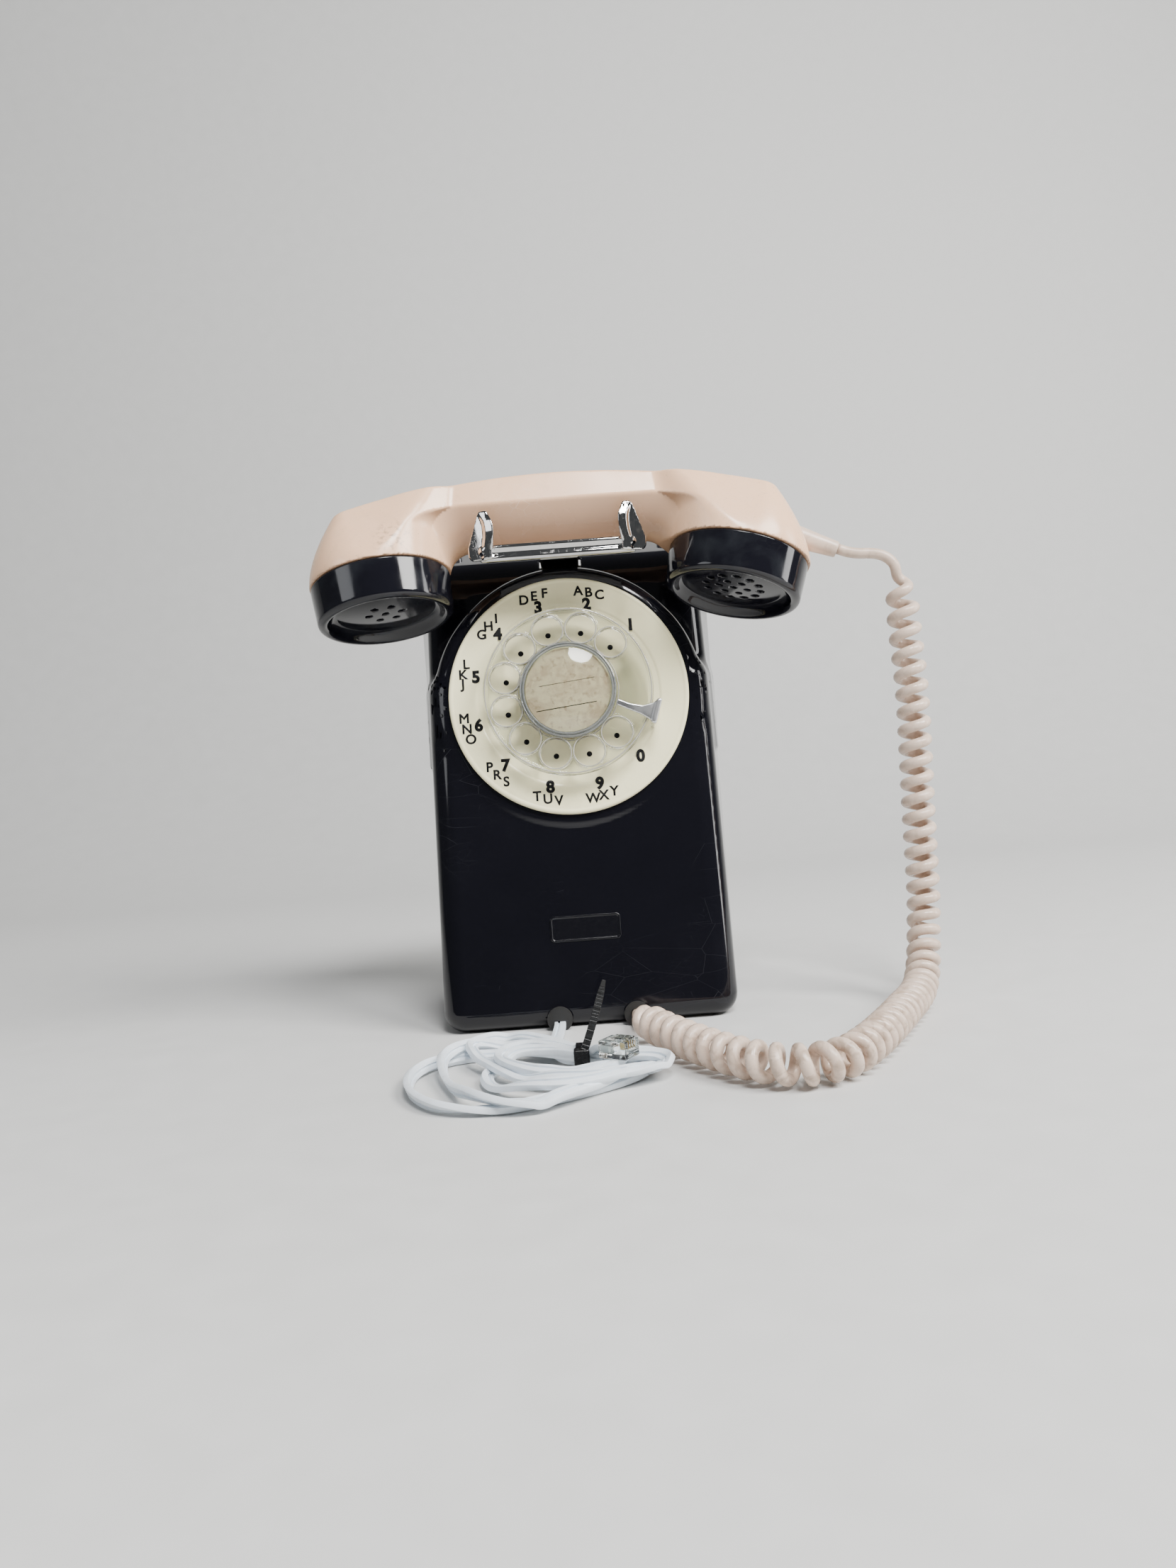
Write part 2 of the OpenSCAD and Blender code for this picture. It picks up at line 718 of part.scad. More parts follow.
// Half the width of a cup where the plane at x cuts it
function cup_half(x) = let (d = min(cap_r - 1, abs(abs(x) - half_span))) sqrt(cap_r * cap_r - d * d);
neck_x = 47;
function in_cup(x) = smooth((abs(x) - neck_x + 9) / 9);
function low_z(x) = mix(handle_low, rim_z(x) + 0.3, in_cup(x));
function crease_z(x) = mix(handle_crease, low_z(x) + 3, smooth((abs(x) - 28) / 24));
function crease_half(x) = mix(handle_half_w, max(handle_half_w, cup_half(x)), smooth((abs(x) - 42) / 12));
function low_half(x) = mix(3, crease_half(x) - 0.4, in_cup(x));
function back_half(x) = mix(15.4, 19, smooth((abs(x) - 30) / 50));

// One outline of the handle in its own y and z, from the back's middle round to the underside
function section(x) = let (
    bz = back_z(x), cz = crease_z(x), lz = low_z(x), bh = back_half(x), ch = crease_half(x), lh = low_half(x)
) [
    [0, bz + 0.8], [bh * 0.5, bz + 0.6], [bh - 0.8, bz], [bh, bz - 0.9],
    [mix(bh, ch, 0.5), mix(bz, cz, 0.5)], [ch, cz],
    [mix(ch, lh, 0.3), mix(cz, lz, 0.45)], [mix(ch, lh, 0.62), mix(cz, lz, 0.8)], [lh, lz]
];
function both_sides(half) = concat(half, [for (i = [len(half) - 1 : -1 : 1]) [-half[i][0], half[i][1]]]);

half_len = handset_len / 2;
stations = [
    -half_len, -110, -106, -101, -95, -88, -81, -74, -67, -60, -55, -51, -47, -43, -38, -32, -24, -12,
    0, 12, 24, 32, 38, 43, 47, 51, 55, 60, 67, 74, 81, 88, 95, 101, 106, 110, half_len
];

// The ends curve outward from the back's corners down to the caps' rims
function end_lean(x, z) = let (
    over = max(0, abs(x) - 88) / (half_len - 88),
    rise = max(0, (z - rim_z(x)) / (back_corner_z - rim_z(x)))
) sign(x) * (abs(x) - over * (half_len - back_corner_x) * pow(rise, 1.7));

module handle_solid() {
    outlines = [for (x = stations) [for (p = both_sides(section(x))) [end_lean(x, p[1]), p[0], p[1]]]];
    n = len(outlines[0]);
    last = len(stations) - 1;
    skin = [
        for (i = [0 : last - 1], k = [0 : n - 1])
            let (a = i * n + k, b = i * n + (k + 1) % n) each [[a, a + n, b], [b, a + n, b + n]]
    ];
    ends = [[for (k = [0 : n - 1]) k], [for (k = [n - 1 : -1 : 0]) last * n + k]];
    polyhedron(points = [for (o = outlines) each o], faces = concat(skin, ends), convexity = 8);
}

module cap_zone(side, r, z0, z1) {
    on_cap(side) translate([0, 0, z0]) cylinder(r = r, h = z1 - z0);
}

// The handle, with a hollow behind each cap
module handset_handle() {
    color([0.8, 0.6, 0.52]) {
        difference() {
            on_handset() handle_solid();
            for (s = [-1, 1]) cap_zone(s, 21, -2, 7);
        }
    }
}

// Black cap: a cup that screws over the collar, with a dished face full of holes
module cap(side, rings) {
    on_cap(side) difference() {
        rotate_extrude($fn = 96) polygon([
            [0, -cap_h + 5], [10, -cap_h + 4.6], [21, -cap_h + 2], [26, -cap_h], [29.4, -cap_h],
            [30.6, -cap_h + 1.2], [cap_r, -0.4], [27.3, -0.4], [27.3, -cap_h + 8.6], [0, -cap_h + 8.6]
        ]);
        for (ring = rings, k = [0 : ring[1] - 1]) rotate([0, 0, 360 * k / ring[1]])
            translate([ring[0], 0, -cap_h]) cylinder(r = 1, h = 14, $fn = 16);
    }
}

module receiver_cap() {
    color([0.03, 0.03, 0.03]) cap(-1, [[0, 1], [5, 6]]);
}

module transmitter_cap() {
    color([0.03, 0.03, 0.03]) cap(1, [[0, 1], [5, 6], [10, 12]]);
}

module receiver_unit() {
    color([0.6, 0.62, 0.6]) on_cap(-1) {
        translate([0, 0, -9]) cylinder(r = 24, h = 8);
        translate([0, 0, -1]) cylinder(r = 16, h = 7);
    }
}

module transmitter_unit() {
    color([0.75, 0.72, 0.5]) on_cap(1) translate([0, 0, -9]) cylinder(r = 24, h = 9);
}

module transmitter_cup() {
    color([0.1, 0.1, 0.1]) on_cap(1) {
        translate([0, 0, 0.2]) cylinder(r = 20.6, h = 1.6);
        translate([0, 0, 1.8]) cylinder(r = 12, h = 4.6);
    }
}

// The boot's frame: where it leaves the handset's end, local +Z along the cord
module boot_place() {
    translate([109, handset_y + 0.7, 210.6]) rotate([0, 112, 0]) children();
}

module cord_boot() {
    color([0.78, 0.6, 0.53]) boot_place() difference() {
        union() {
            translate([0, 0, -1]) cylinder(r = 5, h = 3);
            translate([0, 0, 2]) cylinder(r1 = 5, r2 = 3.6, h = 16);
        }
        translate([0, 0, 6]) cylinder(r = lead_d / 2 + 0.1, h = 16);
    }
}

// ---- Free cords ----

module handset_cord_lead() {
    color([0.8, 0.64, 0.58]) tube(lead_route, lead_d / 2, lead_d / 2);
}

module handset_cord_coil() {
    color([0.8, 0.64, 0.58]) tube(coil_route, coil_d / 2, coil_d / 2, 12);
}

module handset_cord_end() {
    color([0.8, 0.64, 0.58]) tube(coil_end_route, lead_d / 2, lead_d / 2);
}

module line_cord_lead() {
    color([0.92, 0.92, 0.92]) tube(line_route, flat_w / 2, flat_h / 2, 8);
}

module line_cord_bundle() {
    color([0.92, 0.92, 0.92]) linear_extrude(bundle_h) hull()
        for (p = bundle_outline) translate([p[0], p[1]]) circle(p[2], $fn = 32);
}

module zip_tie() {
    color([0.03, 0.03, 0.03]) translate([-4, -106, 0]) {
        difference() {
            translate([-2.4, -7.6, 0.1]) cube([4.8, 15.2, bundle_h + 1]);
            translate([-3, -6.4, -1]) cube([6, 12.8, bundle_h + 1]);
        }
        translate([-3, -10.6, 3.6]) cube([6, 5, 6.4]);
        translate([-1.8, -8.6, 9]) rotate([-6, 20, 0]) cube([3.6, 1.1, 28]);
    }
}

module modular_plug() {
    color([0.85, 0.88, 0.9, 0.5]) translate([2.3, -122.5, bundle_h + 0.1]) rotate([0, 0, -35]) {
        cube([12, 9.7, 6.6]);
        translate([4, 2.2, 6.6]) cube([8, 5.2, 1.4]);
    }
}

housing();
base_plate();
housing_screws();
cord_grommets();
hook_bracket();
hook_pin();
line_switch();
network_block();
network_screws();
ringer_frame();
ringer_coil();
gongs();
gong_screws();
dial_bracket();
dial_frame();
dial_screws();
number_plate();
finger_stop();
pulse_contacts();
return_spring();
governor_bearings();
handset_handle();
receiver_cap();
transmitter_cap();
receiver_unit();
transmitter_unit();
transmitter_cup();
cord_boot();
cradle_hook();
switch_lever();
finger_wheel();
dial_hub();
number_card();
card_window();
dial_shaft();
main_gear();
pinion_shaft();
pulse_cam();
worm_wheel();
governor_worm();
governor_weights();
clapper();
volume_wheel();
handset_cord_lead();
handset_cord_coil();
handset_cord_end();
line_cord_lead();
line_cord_bundle();
zip_tie();
modular_plug();
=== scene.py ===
"""Looks of the rotary wall telephone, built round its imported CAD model. The builders work in millimetres."""

import json
import math

import bmesh
import bpy
import numpy as np
from mathutils import Matrix, Vector


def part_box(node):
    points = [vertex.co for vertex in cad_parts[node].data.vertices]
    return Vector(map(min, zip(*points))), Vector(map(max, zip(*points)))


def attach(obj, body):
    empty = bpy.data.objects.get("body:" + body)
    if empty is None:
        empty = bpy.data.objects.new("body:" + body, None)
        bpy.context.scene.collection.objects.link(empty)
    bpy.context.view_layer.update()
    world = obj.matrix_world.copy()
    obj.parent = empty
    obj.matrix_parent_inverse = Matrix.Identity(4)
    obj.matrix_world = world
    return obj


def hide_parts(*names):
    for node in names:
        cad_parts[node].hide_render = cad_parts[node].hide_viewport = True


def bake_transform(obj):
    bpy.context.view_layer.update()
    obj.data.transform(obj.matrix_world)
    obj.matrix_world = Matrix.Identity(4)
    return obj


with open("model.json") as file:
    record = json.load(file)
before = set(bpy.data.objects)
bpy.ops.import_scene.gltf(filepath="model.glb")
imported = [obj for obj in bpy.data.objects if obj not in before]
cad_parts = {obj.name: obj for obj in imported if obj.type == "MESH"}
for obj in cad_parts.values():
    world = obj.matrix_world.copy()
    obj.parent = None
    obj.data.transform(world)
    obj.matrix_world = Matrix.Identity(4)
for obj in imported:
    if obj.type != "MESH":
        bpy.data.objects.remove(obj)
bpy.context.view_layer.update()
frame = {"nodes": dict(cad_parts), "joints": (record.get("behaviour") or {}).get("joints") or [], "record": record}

MM = 0.001

# ---- Places, from the CAD model ----


def joint_named(name):
    return next(j for j in frame["joints"] if j["name"] == name)


def corners(node):
    low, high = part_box(node)
    return np.array(low) / MM, np.array(high) / MM


dial_at = Vector(joint_named("dial_turn")["pos_m"]) / MM
dial_inward = Vector(joint_named("dial_turn")["axis"])
FACE_LEAN = math.asin(-dial_inward.z)
HALF_D, BODY_H = corners("housing")[1][1:]
HANDSET_LEAN = math.radians(13)
HANDSET_AT = Vector((0, dial_at.y - 3, 203))
HALF_SPAN = 81
CAP_R = 31.5
CAP_H = 18
TILT = {-1: math.radians(7), 1: math.radians(15)}

DIAL = Matrix.Translation(dial_at) @ Matrix.Rotation(math.pi / 2 - FACE_LEAN, 4, "X")
HANDSET = Matrix.Translation(HANDSET_AT) @ Matrix.Rotation(-HANDSET_LEAN, 4, "X")
BOOT = Matrix.Translation((109, HANDSET_AT.y + 0.7, 210.6)) @ Matrix.Rotation(math.radians(112), 4, "Y")
HERE = Matrix.Identity(4)


def cap_place(side):
    return HANDSET @ Matrix.Translation((side * HALF_SPAN, 0, 0)) @ Matrix.Rotation(side * TILT[side], 4, "Y")


# ---- Camera ----


def make_camera():
    """The photograph's view: level with the dial's lower half, a phone's wide lens, rolled a little."""
    pitch, roll = math.radians(1.7), math.radians(4.2)
    forward = Vector((0, math.cos(pitch), -math.sin(pitch)))
    level_up = Vector((0, math.sin(pitch), math.cos(pitch)))
    right = math.cos(roll) * Vector((1, 0, 0)) - math.sin(roll) * level_up
    up = math.sin(roll) * Vector((1, 0, 0)) + math.cos(roll) * level_up
    data = bpy.data.cameras.new("camera")
    data.sensor_width = 36
    data.lens = 27.03
    camera = bpy.data.objects.new("camera", data)
    at = Vector((5.8, dial_at.y - 538, dial_at.z - 24.9)) * MM
    camera.matrix_world = Matrix.Translation(at) @ Matrix((right, up, -forward)).transposed().to_4x4()
    bpy.context.scene.collection.objects.link(camera)
    bpy.context.scene.camera = camera


make_camera()

# ---- Mesh tools ----


def mesh_of(name, points, faces, normals=None, place=HERE):
    """A smooth mesh from points in millimetres in the frame that place says."""
    turn = np.array(place.to_3x3())
    shift = np.array(place.translation)
    mesh = bpy.data.meshes.new(name)
    at = (np.asarray(points, float) @ turn.T + shift) * MM
    mesh.vertices.add(len(at))
    mesh.vertices.foreach_set("co", at.astype(np.float32).ravel())
    sizes = np.array([len(f) for f in faces])
    loops = np.concatenate([np.asarray(f) for f in faces])
    mesh.loops.add(len(loops))
    mesh.loops.foreach_set("vertex_index", loops.astype(np.int32))
    mesh.polygons.add(len(sizes))
    mesh.polygons.foreach_set("loop_start", (np.cumsum(sizes) - sizes).astype(np.int32))
    mesh.update(calc_edges=True)
    mesh.validate()
    mesh.shade_smooth()
    if normals is not None:
        mesh.normals_split_custom_set_from_vertices((np.asarray(normals) @ turn.T).tolist())
    return mesh


def add(mesh, body, slot, replaced=(), coat=None):
    """A piece that rides on a body, stands for CAD nodes and wears its slot's finish."""
    piece = bpy.data.objects.new(mesh.name, mesh)
    bpy.context.scene.collection.objects.link(piece)
    mesh.materials.append(coat or finish(slot))
    if body:
        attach(piece, body)
    if replaced:
        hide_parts(*replaced)
    return piece


CORNERS = np.array([(i, j, k) for i in (0, 1) for j in (0, 1) for k in (0, 1)])
EDGES = [(a, b) for a in range(8) for b in range(a + 1, 8) if abs(CORNERS[a] - CORNERS[b]).sum() == 1]


def slope_of(distance, points, h):
    g = np.empty_like(points)
    for a in range(3):
        d = np.zeros(3)
        d[a] = h
        g[:, a] = (distance(points + d) - distance(points - d)) / (2 * h)
    return g


def carve(distance, low, high, step):
    """Surface nets of the solid where distance(points) is below 0, pulled onto it: points, quads and normals."""
    low = np.array(low, float) - 0.37 * step
    count = np.ceil((np.array(high, float) - low) / step).astype(int) + 2
    axes = [low[a] + step * np.arange(count[a]) for a in range(3)]
    value = np.empty(tuple(count))
    for i, x in enumerate(axes[0]):
        yy, zz = np.meshgrid(axes[1], axes[2], indexing="ij")
        sheet = np.stack([np.full(yy.size, x), yy.ravel(), zz.ravel()], -1)
        value[i] = distance(sheet).reshape(yy.shape)
    inside = value < 0
    n = count - 1
    filled = sum(inside[i:i + n[0], j:j + n[1], k:k + n[2]].astype(np.int8) for i, j, k in CORNERS)
    cells = np.argwhere((filled > 0) & (filled < 8))
    number = np.full(tuple(n), -1)
    number[tuple(cells.T)] = np.arange(len(cells))
    at = [value[tuple((cells + c).T)] for c in CORNERS]
    total, hits = np.zeros((len(cells), 3)), np.zeros(len(cells))
    for a, b in EDGES:
        crossing = (at[a] < 0) != (at[b] < 0)
        share = at[a] / np.where(crossing, at[a] - at[b], 1)
        total += np.where(crossing[:, None], CORNERS[a] + share[:, None] * (CORNERS[b] - CORNERS[a]), 0)
        hits += crossing
    points = low + step * (cells + total / hits[:, None])
    quads = []
    for a in range(3):
        u, w = (a + 1) % 3, (a + 2) % 3
        first = np.take(inside, np.arange(count[a] - 1), a)
        edges = np.argwhere(first != np.take(inside, np.arange(1, count[a]), a))
        keep = (edges[:, u] > 0) & (edges[:, w] > 0) & (edges[:, u] < n[u]) & (edges[:, w] < n[w])
        edges = edges[keep]
        ring = []
        for du, dw in ((-1, -1), (0, -1), (0, 0), (-1, 0)):
            cell = edges.copy()
            cell[:, u] += du
            cell[:, w] += dw
            ring.append(number[tuple(cell.T)])
        ring = np.stack(ring, -1)
        outward = first[tuple(edges.T)]
        quads.append(np.where(outward[:, None], ring, ring[:, ::-1]))
    for _ in range(4):
        g = slope_of(distance, points, 0.04 * step)
        move = distance(points)[:, None] * g / np.maximum((g * g).sum(1), 0.3)[:, None]
        size = np.linalg.norm(move, axis=1)[:, None]
        points = points - move * np.minimum(1, 0.6 * step / np.maximum(size, 1e-9))
    g = slope_of(distance, points, 0.04 * step)
    return points, np.concatenate(quads), g / np.maximum(np.linalg.norm(g, axis=1), 1e-9)[:, None]


def both(a, b, r):
    """The overlap of two solids, its edge rounded by r."""
    return np.minimum(np.maximum(a, b), -r) + np.hypot(np.maximum(a + r, 0), np.maximum(b + r, 0))


def either(a, b, r):
    """The union of two solids, its inner corner filled by r."""
    return np.maximum(np.minimum(a, b), r) - np.hypot(np.maximum(r - a, 0), np.maximum(r - b, 0))


def block(points, middle, half, r):
    """Distance to a box with rounded edges."""
    q = np.abs(points - np.array(middle)) - np.array(half) + r
    return np.linalg.norm(np.maximum(q, 0), axis=1) + np.minimum(q.max(1), 0) - r


def mix(a, b, t):
    return a + (b - a) * t


def smooth(t):
    t = np.clip(t, 0, 1)
    return t * t * (3 - 2 * t)


def into(place, points):
    """World points in a place's own frame."""
    back = place.inverted()
    return points @ np.array(back.to_3x3()).T + np.array(back.translation)


def polar(r, angle):
    return r * math.cos(angle), r * math.sin(angle)


def nearest(p, spots):
    """Distance to the nearest of some upright lines at (x, y)."""
    return np.minimum.reduce([np.hypot(p[:, 0] - x, p[:, 1] - y) for x, y in spots])


def rounded_line(points, r, steps):
    """A polyline through the points with its inner corners rounded."""
    points = [np.array(p, float) for p in points]
    out = [points[0]]
    for i in range(1, len(points) - 1):
        before, here, after = points[i - 1], points[i], points[i + 1]
        a, b = before - here, after - here
        cut = min(r, 0.49 * np.linalg.norm(a), 0.49 * np.linalg.norm(b))
        start, end = here + a / np.linalg.norm(a) * cut, here + b / np.linalg.norm(b) * cut
        for k in range(steps + 1):
            t = k / steps
            out.append((1 - t) ** 2 * start + 2 * t * (1 - t) * here + t * t * end)
    out.append(points[-1])
    return np.array(out)


def lathe(profile, turns=128):
    """A solid of revolution about z from its outline (radius, z), given from the axis round to the axis."""
    profile = np.asarray(profile, float)
    angle = 2 * np.pi * np.arange(turns) / turns
    points = np.stack([
        np.outer(np.cos(angle), profile[:, 0]), np.outer(np.sin(angle), profile[:, 0]),
        np.tile(profile[:, 1], (turns, 1))
    ], -1).reshape(-1, 3)
    m = len(profile)
    closed = profile[0, 0] > 1e-6
    faces = []
    for i in range(turns):
        j = (i + 1) % turns
        for k in range(m if closed else m - 1):
            faces.append([i * m + k, j * m + k, j * m + (k + 1) % m, i * m + (k + 1) % m])
    return points, faces


def merged(mesh, span=1e-6):
    """The mesh with doubled points joined, as at a lathe's axis."""
    work = bmesh.new()
    work.from_mesh(mesh)
    bmesh.ops.remove_doubles(work, verts=work.verts, dist=span)
    bmesh.ops.dissolve_degenerate(work, edges=work.edges, dist=span)
    bmesh.ops.recalc_face_normals(work, faces=work.faces)
    work.to_mesh(mesh)
    work.free()
    mesh.shade_smooth()
    return mesh


def turned(name, profile, place, turns=128, crisp=35):
    mesh = merged(mesh_of(name, *lathe(profile, turns), place=place))
    mesh.set_sharp_from_angle(angle=math.radians(crisp))
    return mesh


def run_of(line):
    """The length along a line up to each of its points."""
    return np.concatenate([[0], np.cumsum(np.linalg.norm(np.diff(line, axis=0), axis=1))])


def even(line, step):
    """The line in even steps. Numbers past x, y and z are carried along."""
    run = run_of(line[:, :3])
    s = np.linspace(0, run[-1], int(round(run[-1] / step)) + 1)
    return np.stack([np.interp(s, run, line[:, a]) for a in range(line.shape[1])], -1)


def curve_through(points, step):
    """A Catmull-Rom line through the points, in even steps."""
    p = np.asarray(points, float)
    p = np.vstack([2 * p[0] - p[1], p, 2 * p[-1] - p[-2]])
    line = []
    for i in range(1, len(p) - 2):
        chord = np.sqrt(np.linalg.norm(np.diff(p[i - 1:i + 3, :3], axis=0), axis=1)) + 1e-9
        t0, t1, t2, t3 = 0, chord[0], chord[:2].sum(), chord.sum()
        for t in np.linspace(t1, t2, 24, endpoint=False):
            a1 = ((t1 - t) * p[i - 1] + (t - t0) * p[i]) / (t1 - t0)
            a2 = ((t2 - t) * p[i] + (t - t1) * p[i + 1]) / (t2 - t1)
            a3 = ((t3 - t) * p[i + 1] + (t - t2) * p[i + 2]) / (t3 - t2)
            b1 = ((t2 - t) * a1 + (t - t0) * a2) / (t2 - t0)
            b2 = ((t3 - t) * a2 + (t - t1) * a3) / (t3 - t1)
            line.append(((t2 - t) * b1 + (t - t1) * b2) / (t2 - t1))
    line.append(p[-2])
    return even(np.array(line), step)


def directions(line):
    d = np.gradient(line, axis=0)
    return d / np.linalg.norm(d, axis=1)[:, None]


def carried_sides(line, first):
    """Sideways directions along a line, carried without twist from the first one."""
    sides, s = [], np.array(first, float)
    for v in directions(line):
        s = s - (s @ v) * v
        s = s / np.linalg.norm(s)
        sides.append(s)
    return np.array(sides)


def swept(line, sides, section, width=1, thick=1):
    """A tube with flat ends: the section (side, up), scaled by width and thick, carried along the line."""
    ups = np.cross(directions(line), sides)
    section = np.asarray(section, float)
    m, n = len(section), len(line)
    across = section[None, :, :1] * sides[:, None] * np.reshape(width, (-1, 1, 1))
    rise = section[None, :, 1:] * ups[:, None] * np.reshape(thick, (-1, 1, 1))
    points = (line[:, None] + across + rise).reshape(-1, 3)
    faces = [
        [i * m + k, i * m + (k + 1) % m, (i + 1) * m + (k + 1) % m, (i + 1) * m + k]
        for i in range(n - 1) for k in range(m)
    ]
    faces.append(list(range(m))[::-1])
    faces.append([(n - 1) * m + k for k in range(m)])
    return points, faces


def ring_section(r, count):
    angle = 2 * np.pi * np.arange(count) / count
    return np.stack([r * np.cos(angle), r * np.sin(angle)], -1)

# ---- Finishes ----


class Paint:
    """A Principled material and short names for the nodes that feed it. Scales count features per metre."""

    def __init__(self, name, colour, roughness, **sockets):
        self.material = bpy.data.materials.new(name)
        self.material.use_nodes = True
        self.tree = self.material.node_tree
        self.shader = self.tree.nodes["Principled BSDF"]
        coordinates = self.tree.nodes.new("ShaderNodeTexCoord").outputs
        self.place, self.facing = coordinates["Object"], coordinates["Normal"]
        self.shader.inputs["Base Color"].default_value = (*colour, 1)
        self.shader.inputs["Roughness"].default_value = roughness
        for socket, value in sockets.items():
            self.shader.inputs[socket.replace("_", " ")].default_value = value

    def node(self, kind, inputs, **settings):
        made = self.tree.nodes.new(kind)
        for key, value in settings.items():
            setattr(made, key, value)
        for key, value in inputs.items():
            if isinstance(value, bpy.types.NodeSocket):
                self.tree.links.new(value, made.inputs[key])
            else:
                made.inputs[key].default_value = value
        return made

    def at(self, stretch=(1, 1, 1), turn=(0, 0, 0)):
        inputs = {"Vector": self.place, "Scale": stretch, "Rotation": turn}
        return self.node("ShaderNodeMapping", inputs).outputs["Vector"]

    def noise(self, scale, detail=3, where=None, distortion=0.0):
        inputs = {"Vector": where or self.place, "Scale": scale, "Detail": detail, "Distortion": distortion}
        return self.node("ShaderNodeTexNoise", inputs).outputs["Fac"]

    def lines(self, scale, width, where=None):
        """Hairlines along the borders of cells, 1 on a line and 0 off it."""
        inputs = {"Vector": where or self.place, "Scale": scale}
        edge = self.node("ShaderNodeTexVoronoi", inputs, feature="DISTANCE_TO_EDGE").outputs["Distance"]
        return self.ramp(edge, (0, 1), (width, 0))

    def ramp(self, value, *stops):
        made = self.node("ShaderNodeValToRGB", {"Fac": value})
        ramp = made.color_ramp
        while len(ramp.elements) < len(stops):
            ramp.elements.new(0.5)
        for element, (at, shade) in zip(ramp.elements, stops):
            element.position = at
            element.color = (shade, shade, shade, 1) if np.isscalar(shade) else (*shade, 1)
        return made.outputs["Color"]

    def patches(self, scale, detail, low, high, distortion=0.0):
        """Soft-edged blotches of noise, 1 inside them and 0 outside."""
        return self.ramp(self.noise(scale, detail, distortion=distortion), (low, 0), (high, 1))

    def scratches(self, scale, width, stretch, turn, patch, low=0.5, high=0.62):
        """Hairlines that show only inside blotches."""
        return self.times(self.lines(scale, width, self.at(stretch, turn)), self.patches(patch, 2, low, high))

    def times(self, a, b, kind="MULTIPLY"):
        return self.node("ShaderNodeMath", {0: a, 1: b}, operation=kind).outputs[0]

    def blend(self, share, a, b):
        a, b = (c if isinstance(c, bpy.types.NodeSocket) else (*c, 1) for c in (a, b))
        return self.node("ShaderNodeMix", {"Factor": share, 6: a, 7: b}, data_type="RGBA").outputs[2]

    def layers(self, colour, *marks):
        """The colour with marks laid over it in turn: each is where, how strongly and in what colour."""
        for where, share, shade in marks:
            colour = self.blend(self.times(where, share), colour, shade)
        return colour

    def near(self, point, reach):
        """1 at a point in millimetres, falling to 0 at reach millimetres from it."""
        inputs = {0: self.place, 1: tuple(c * MM for c in point)}
        gap = self.node("ShaderNodeVectorMath", inputs, operation="DISTANCE")
        return self.ramp(self.times(gap.outputs["Value"], 1 / (reach * MM)), (0, 1), (1, 0))

    def wear(self, colour=None, roughness=None, height=None, depth=0.0001, strength=0.3):
        if colour:
            self.tree.links.new(colour, self.shader.inputs["Base Color"])
        if roughness:
            self.tree.links.new(roughness, self.shader.inputs["Roughness"])
        if height:
            bump = self.node("ShaderNodeBump", {"Height": height, "Distance": depth, "Strength": strength})
            self.tree.links.new(bump.outputs["Normal"], self.shader.inputs["Normal"])
        return self.material


def black_shell():
    p = Paint("black_shell", (0.004, 0.004, 0.006), 0.07, Specular_IOR_Level=0.42)
    haze = p.noise(20, 5, distortion=0.8)
    hair = p.scratches(120, 0.004, (1, 1, 3.2), (0.3, 0.5, 0.2), 34, 0.52)
    long_hair = p.scratches(34, 0.0016, (1, 1, 2.6), (0.1, 1.1, 0.7), 14, 0.5, 0.6)
    dust = p.patches(1500, 1, 0.74, 0.79)
    marks = p.times(p.times(hair, long_hair, "MAXIMUM"), p.times(dust, 0.5), "MAXIMUM")
    colour = p.blend(haze, (0.003, 0.003, 0.005), (0.006, 0.006, 0.009))
    colour = p.layers(colour, (marks, 0.07, (0.16, 0.17, 0.19)))
    rough = p.times(p.ramp(haze, (0.35, 0.045), (0.7, 0.12)), p.times(marks, 0.25), "ADD")
    return p.wear(colour, rough, p.times(p.noise(30, 2), p.times(marks, 0.2), "SUBTRACT"), 0.00003, 0.06)


def black_cap():
    p = Paint("black_cap", (0.006, 0.007, 0.009), 0.07, Specular_IOR_Level=0.5)
    grime = p.noise(60, 5, distortion=0.4)
    hair = p.scratches(160, 0.006, (1, 2, 1), (0.6, 0.1, 0.4), 70, 0.5, 0.6)
    colour = p.blend(p.ramp(grime, (0.5, 0), (0.8, 1)), (0.005, 0.005, 0.008), (0.015, 0.017, 0.021))
    rough = p.times(p.ramp(grime, (0.4, 0.06), (0.72, 0.17)), p.times(hair, 0.2), "ADD")
    return p.wear(colour, rough, p.noise(160, 3), 0.00003, 0.1)


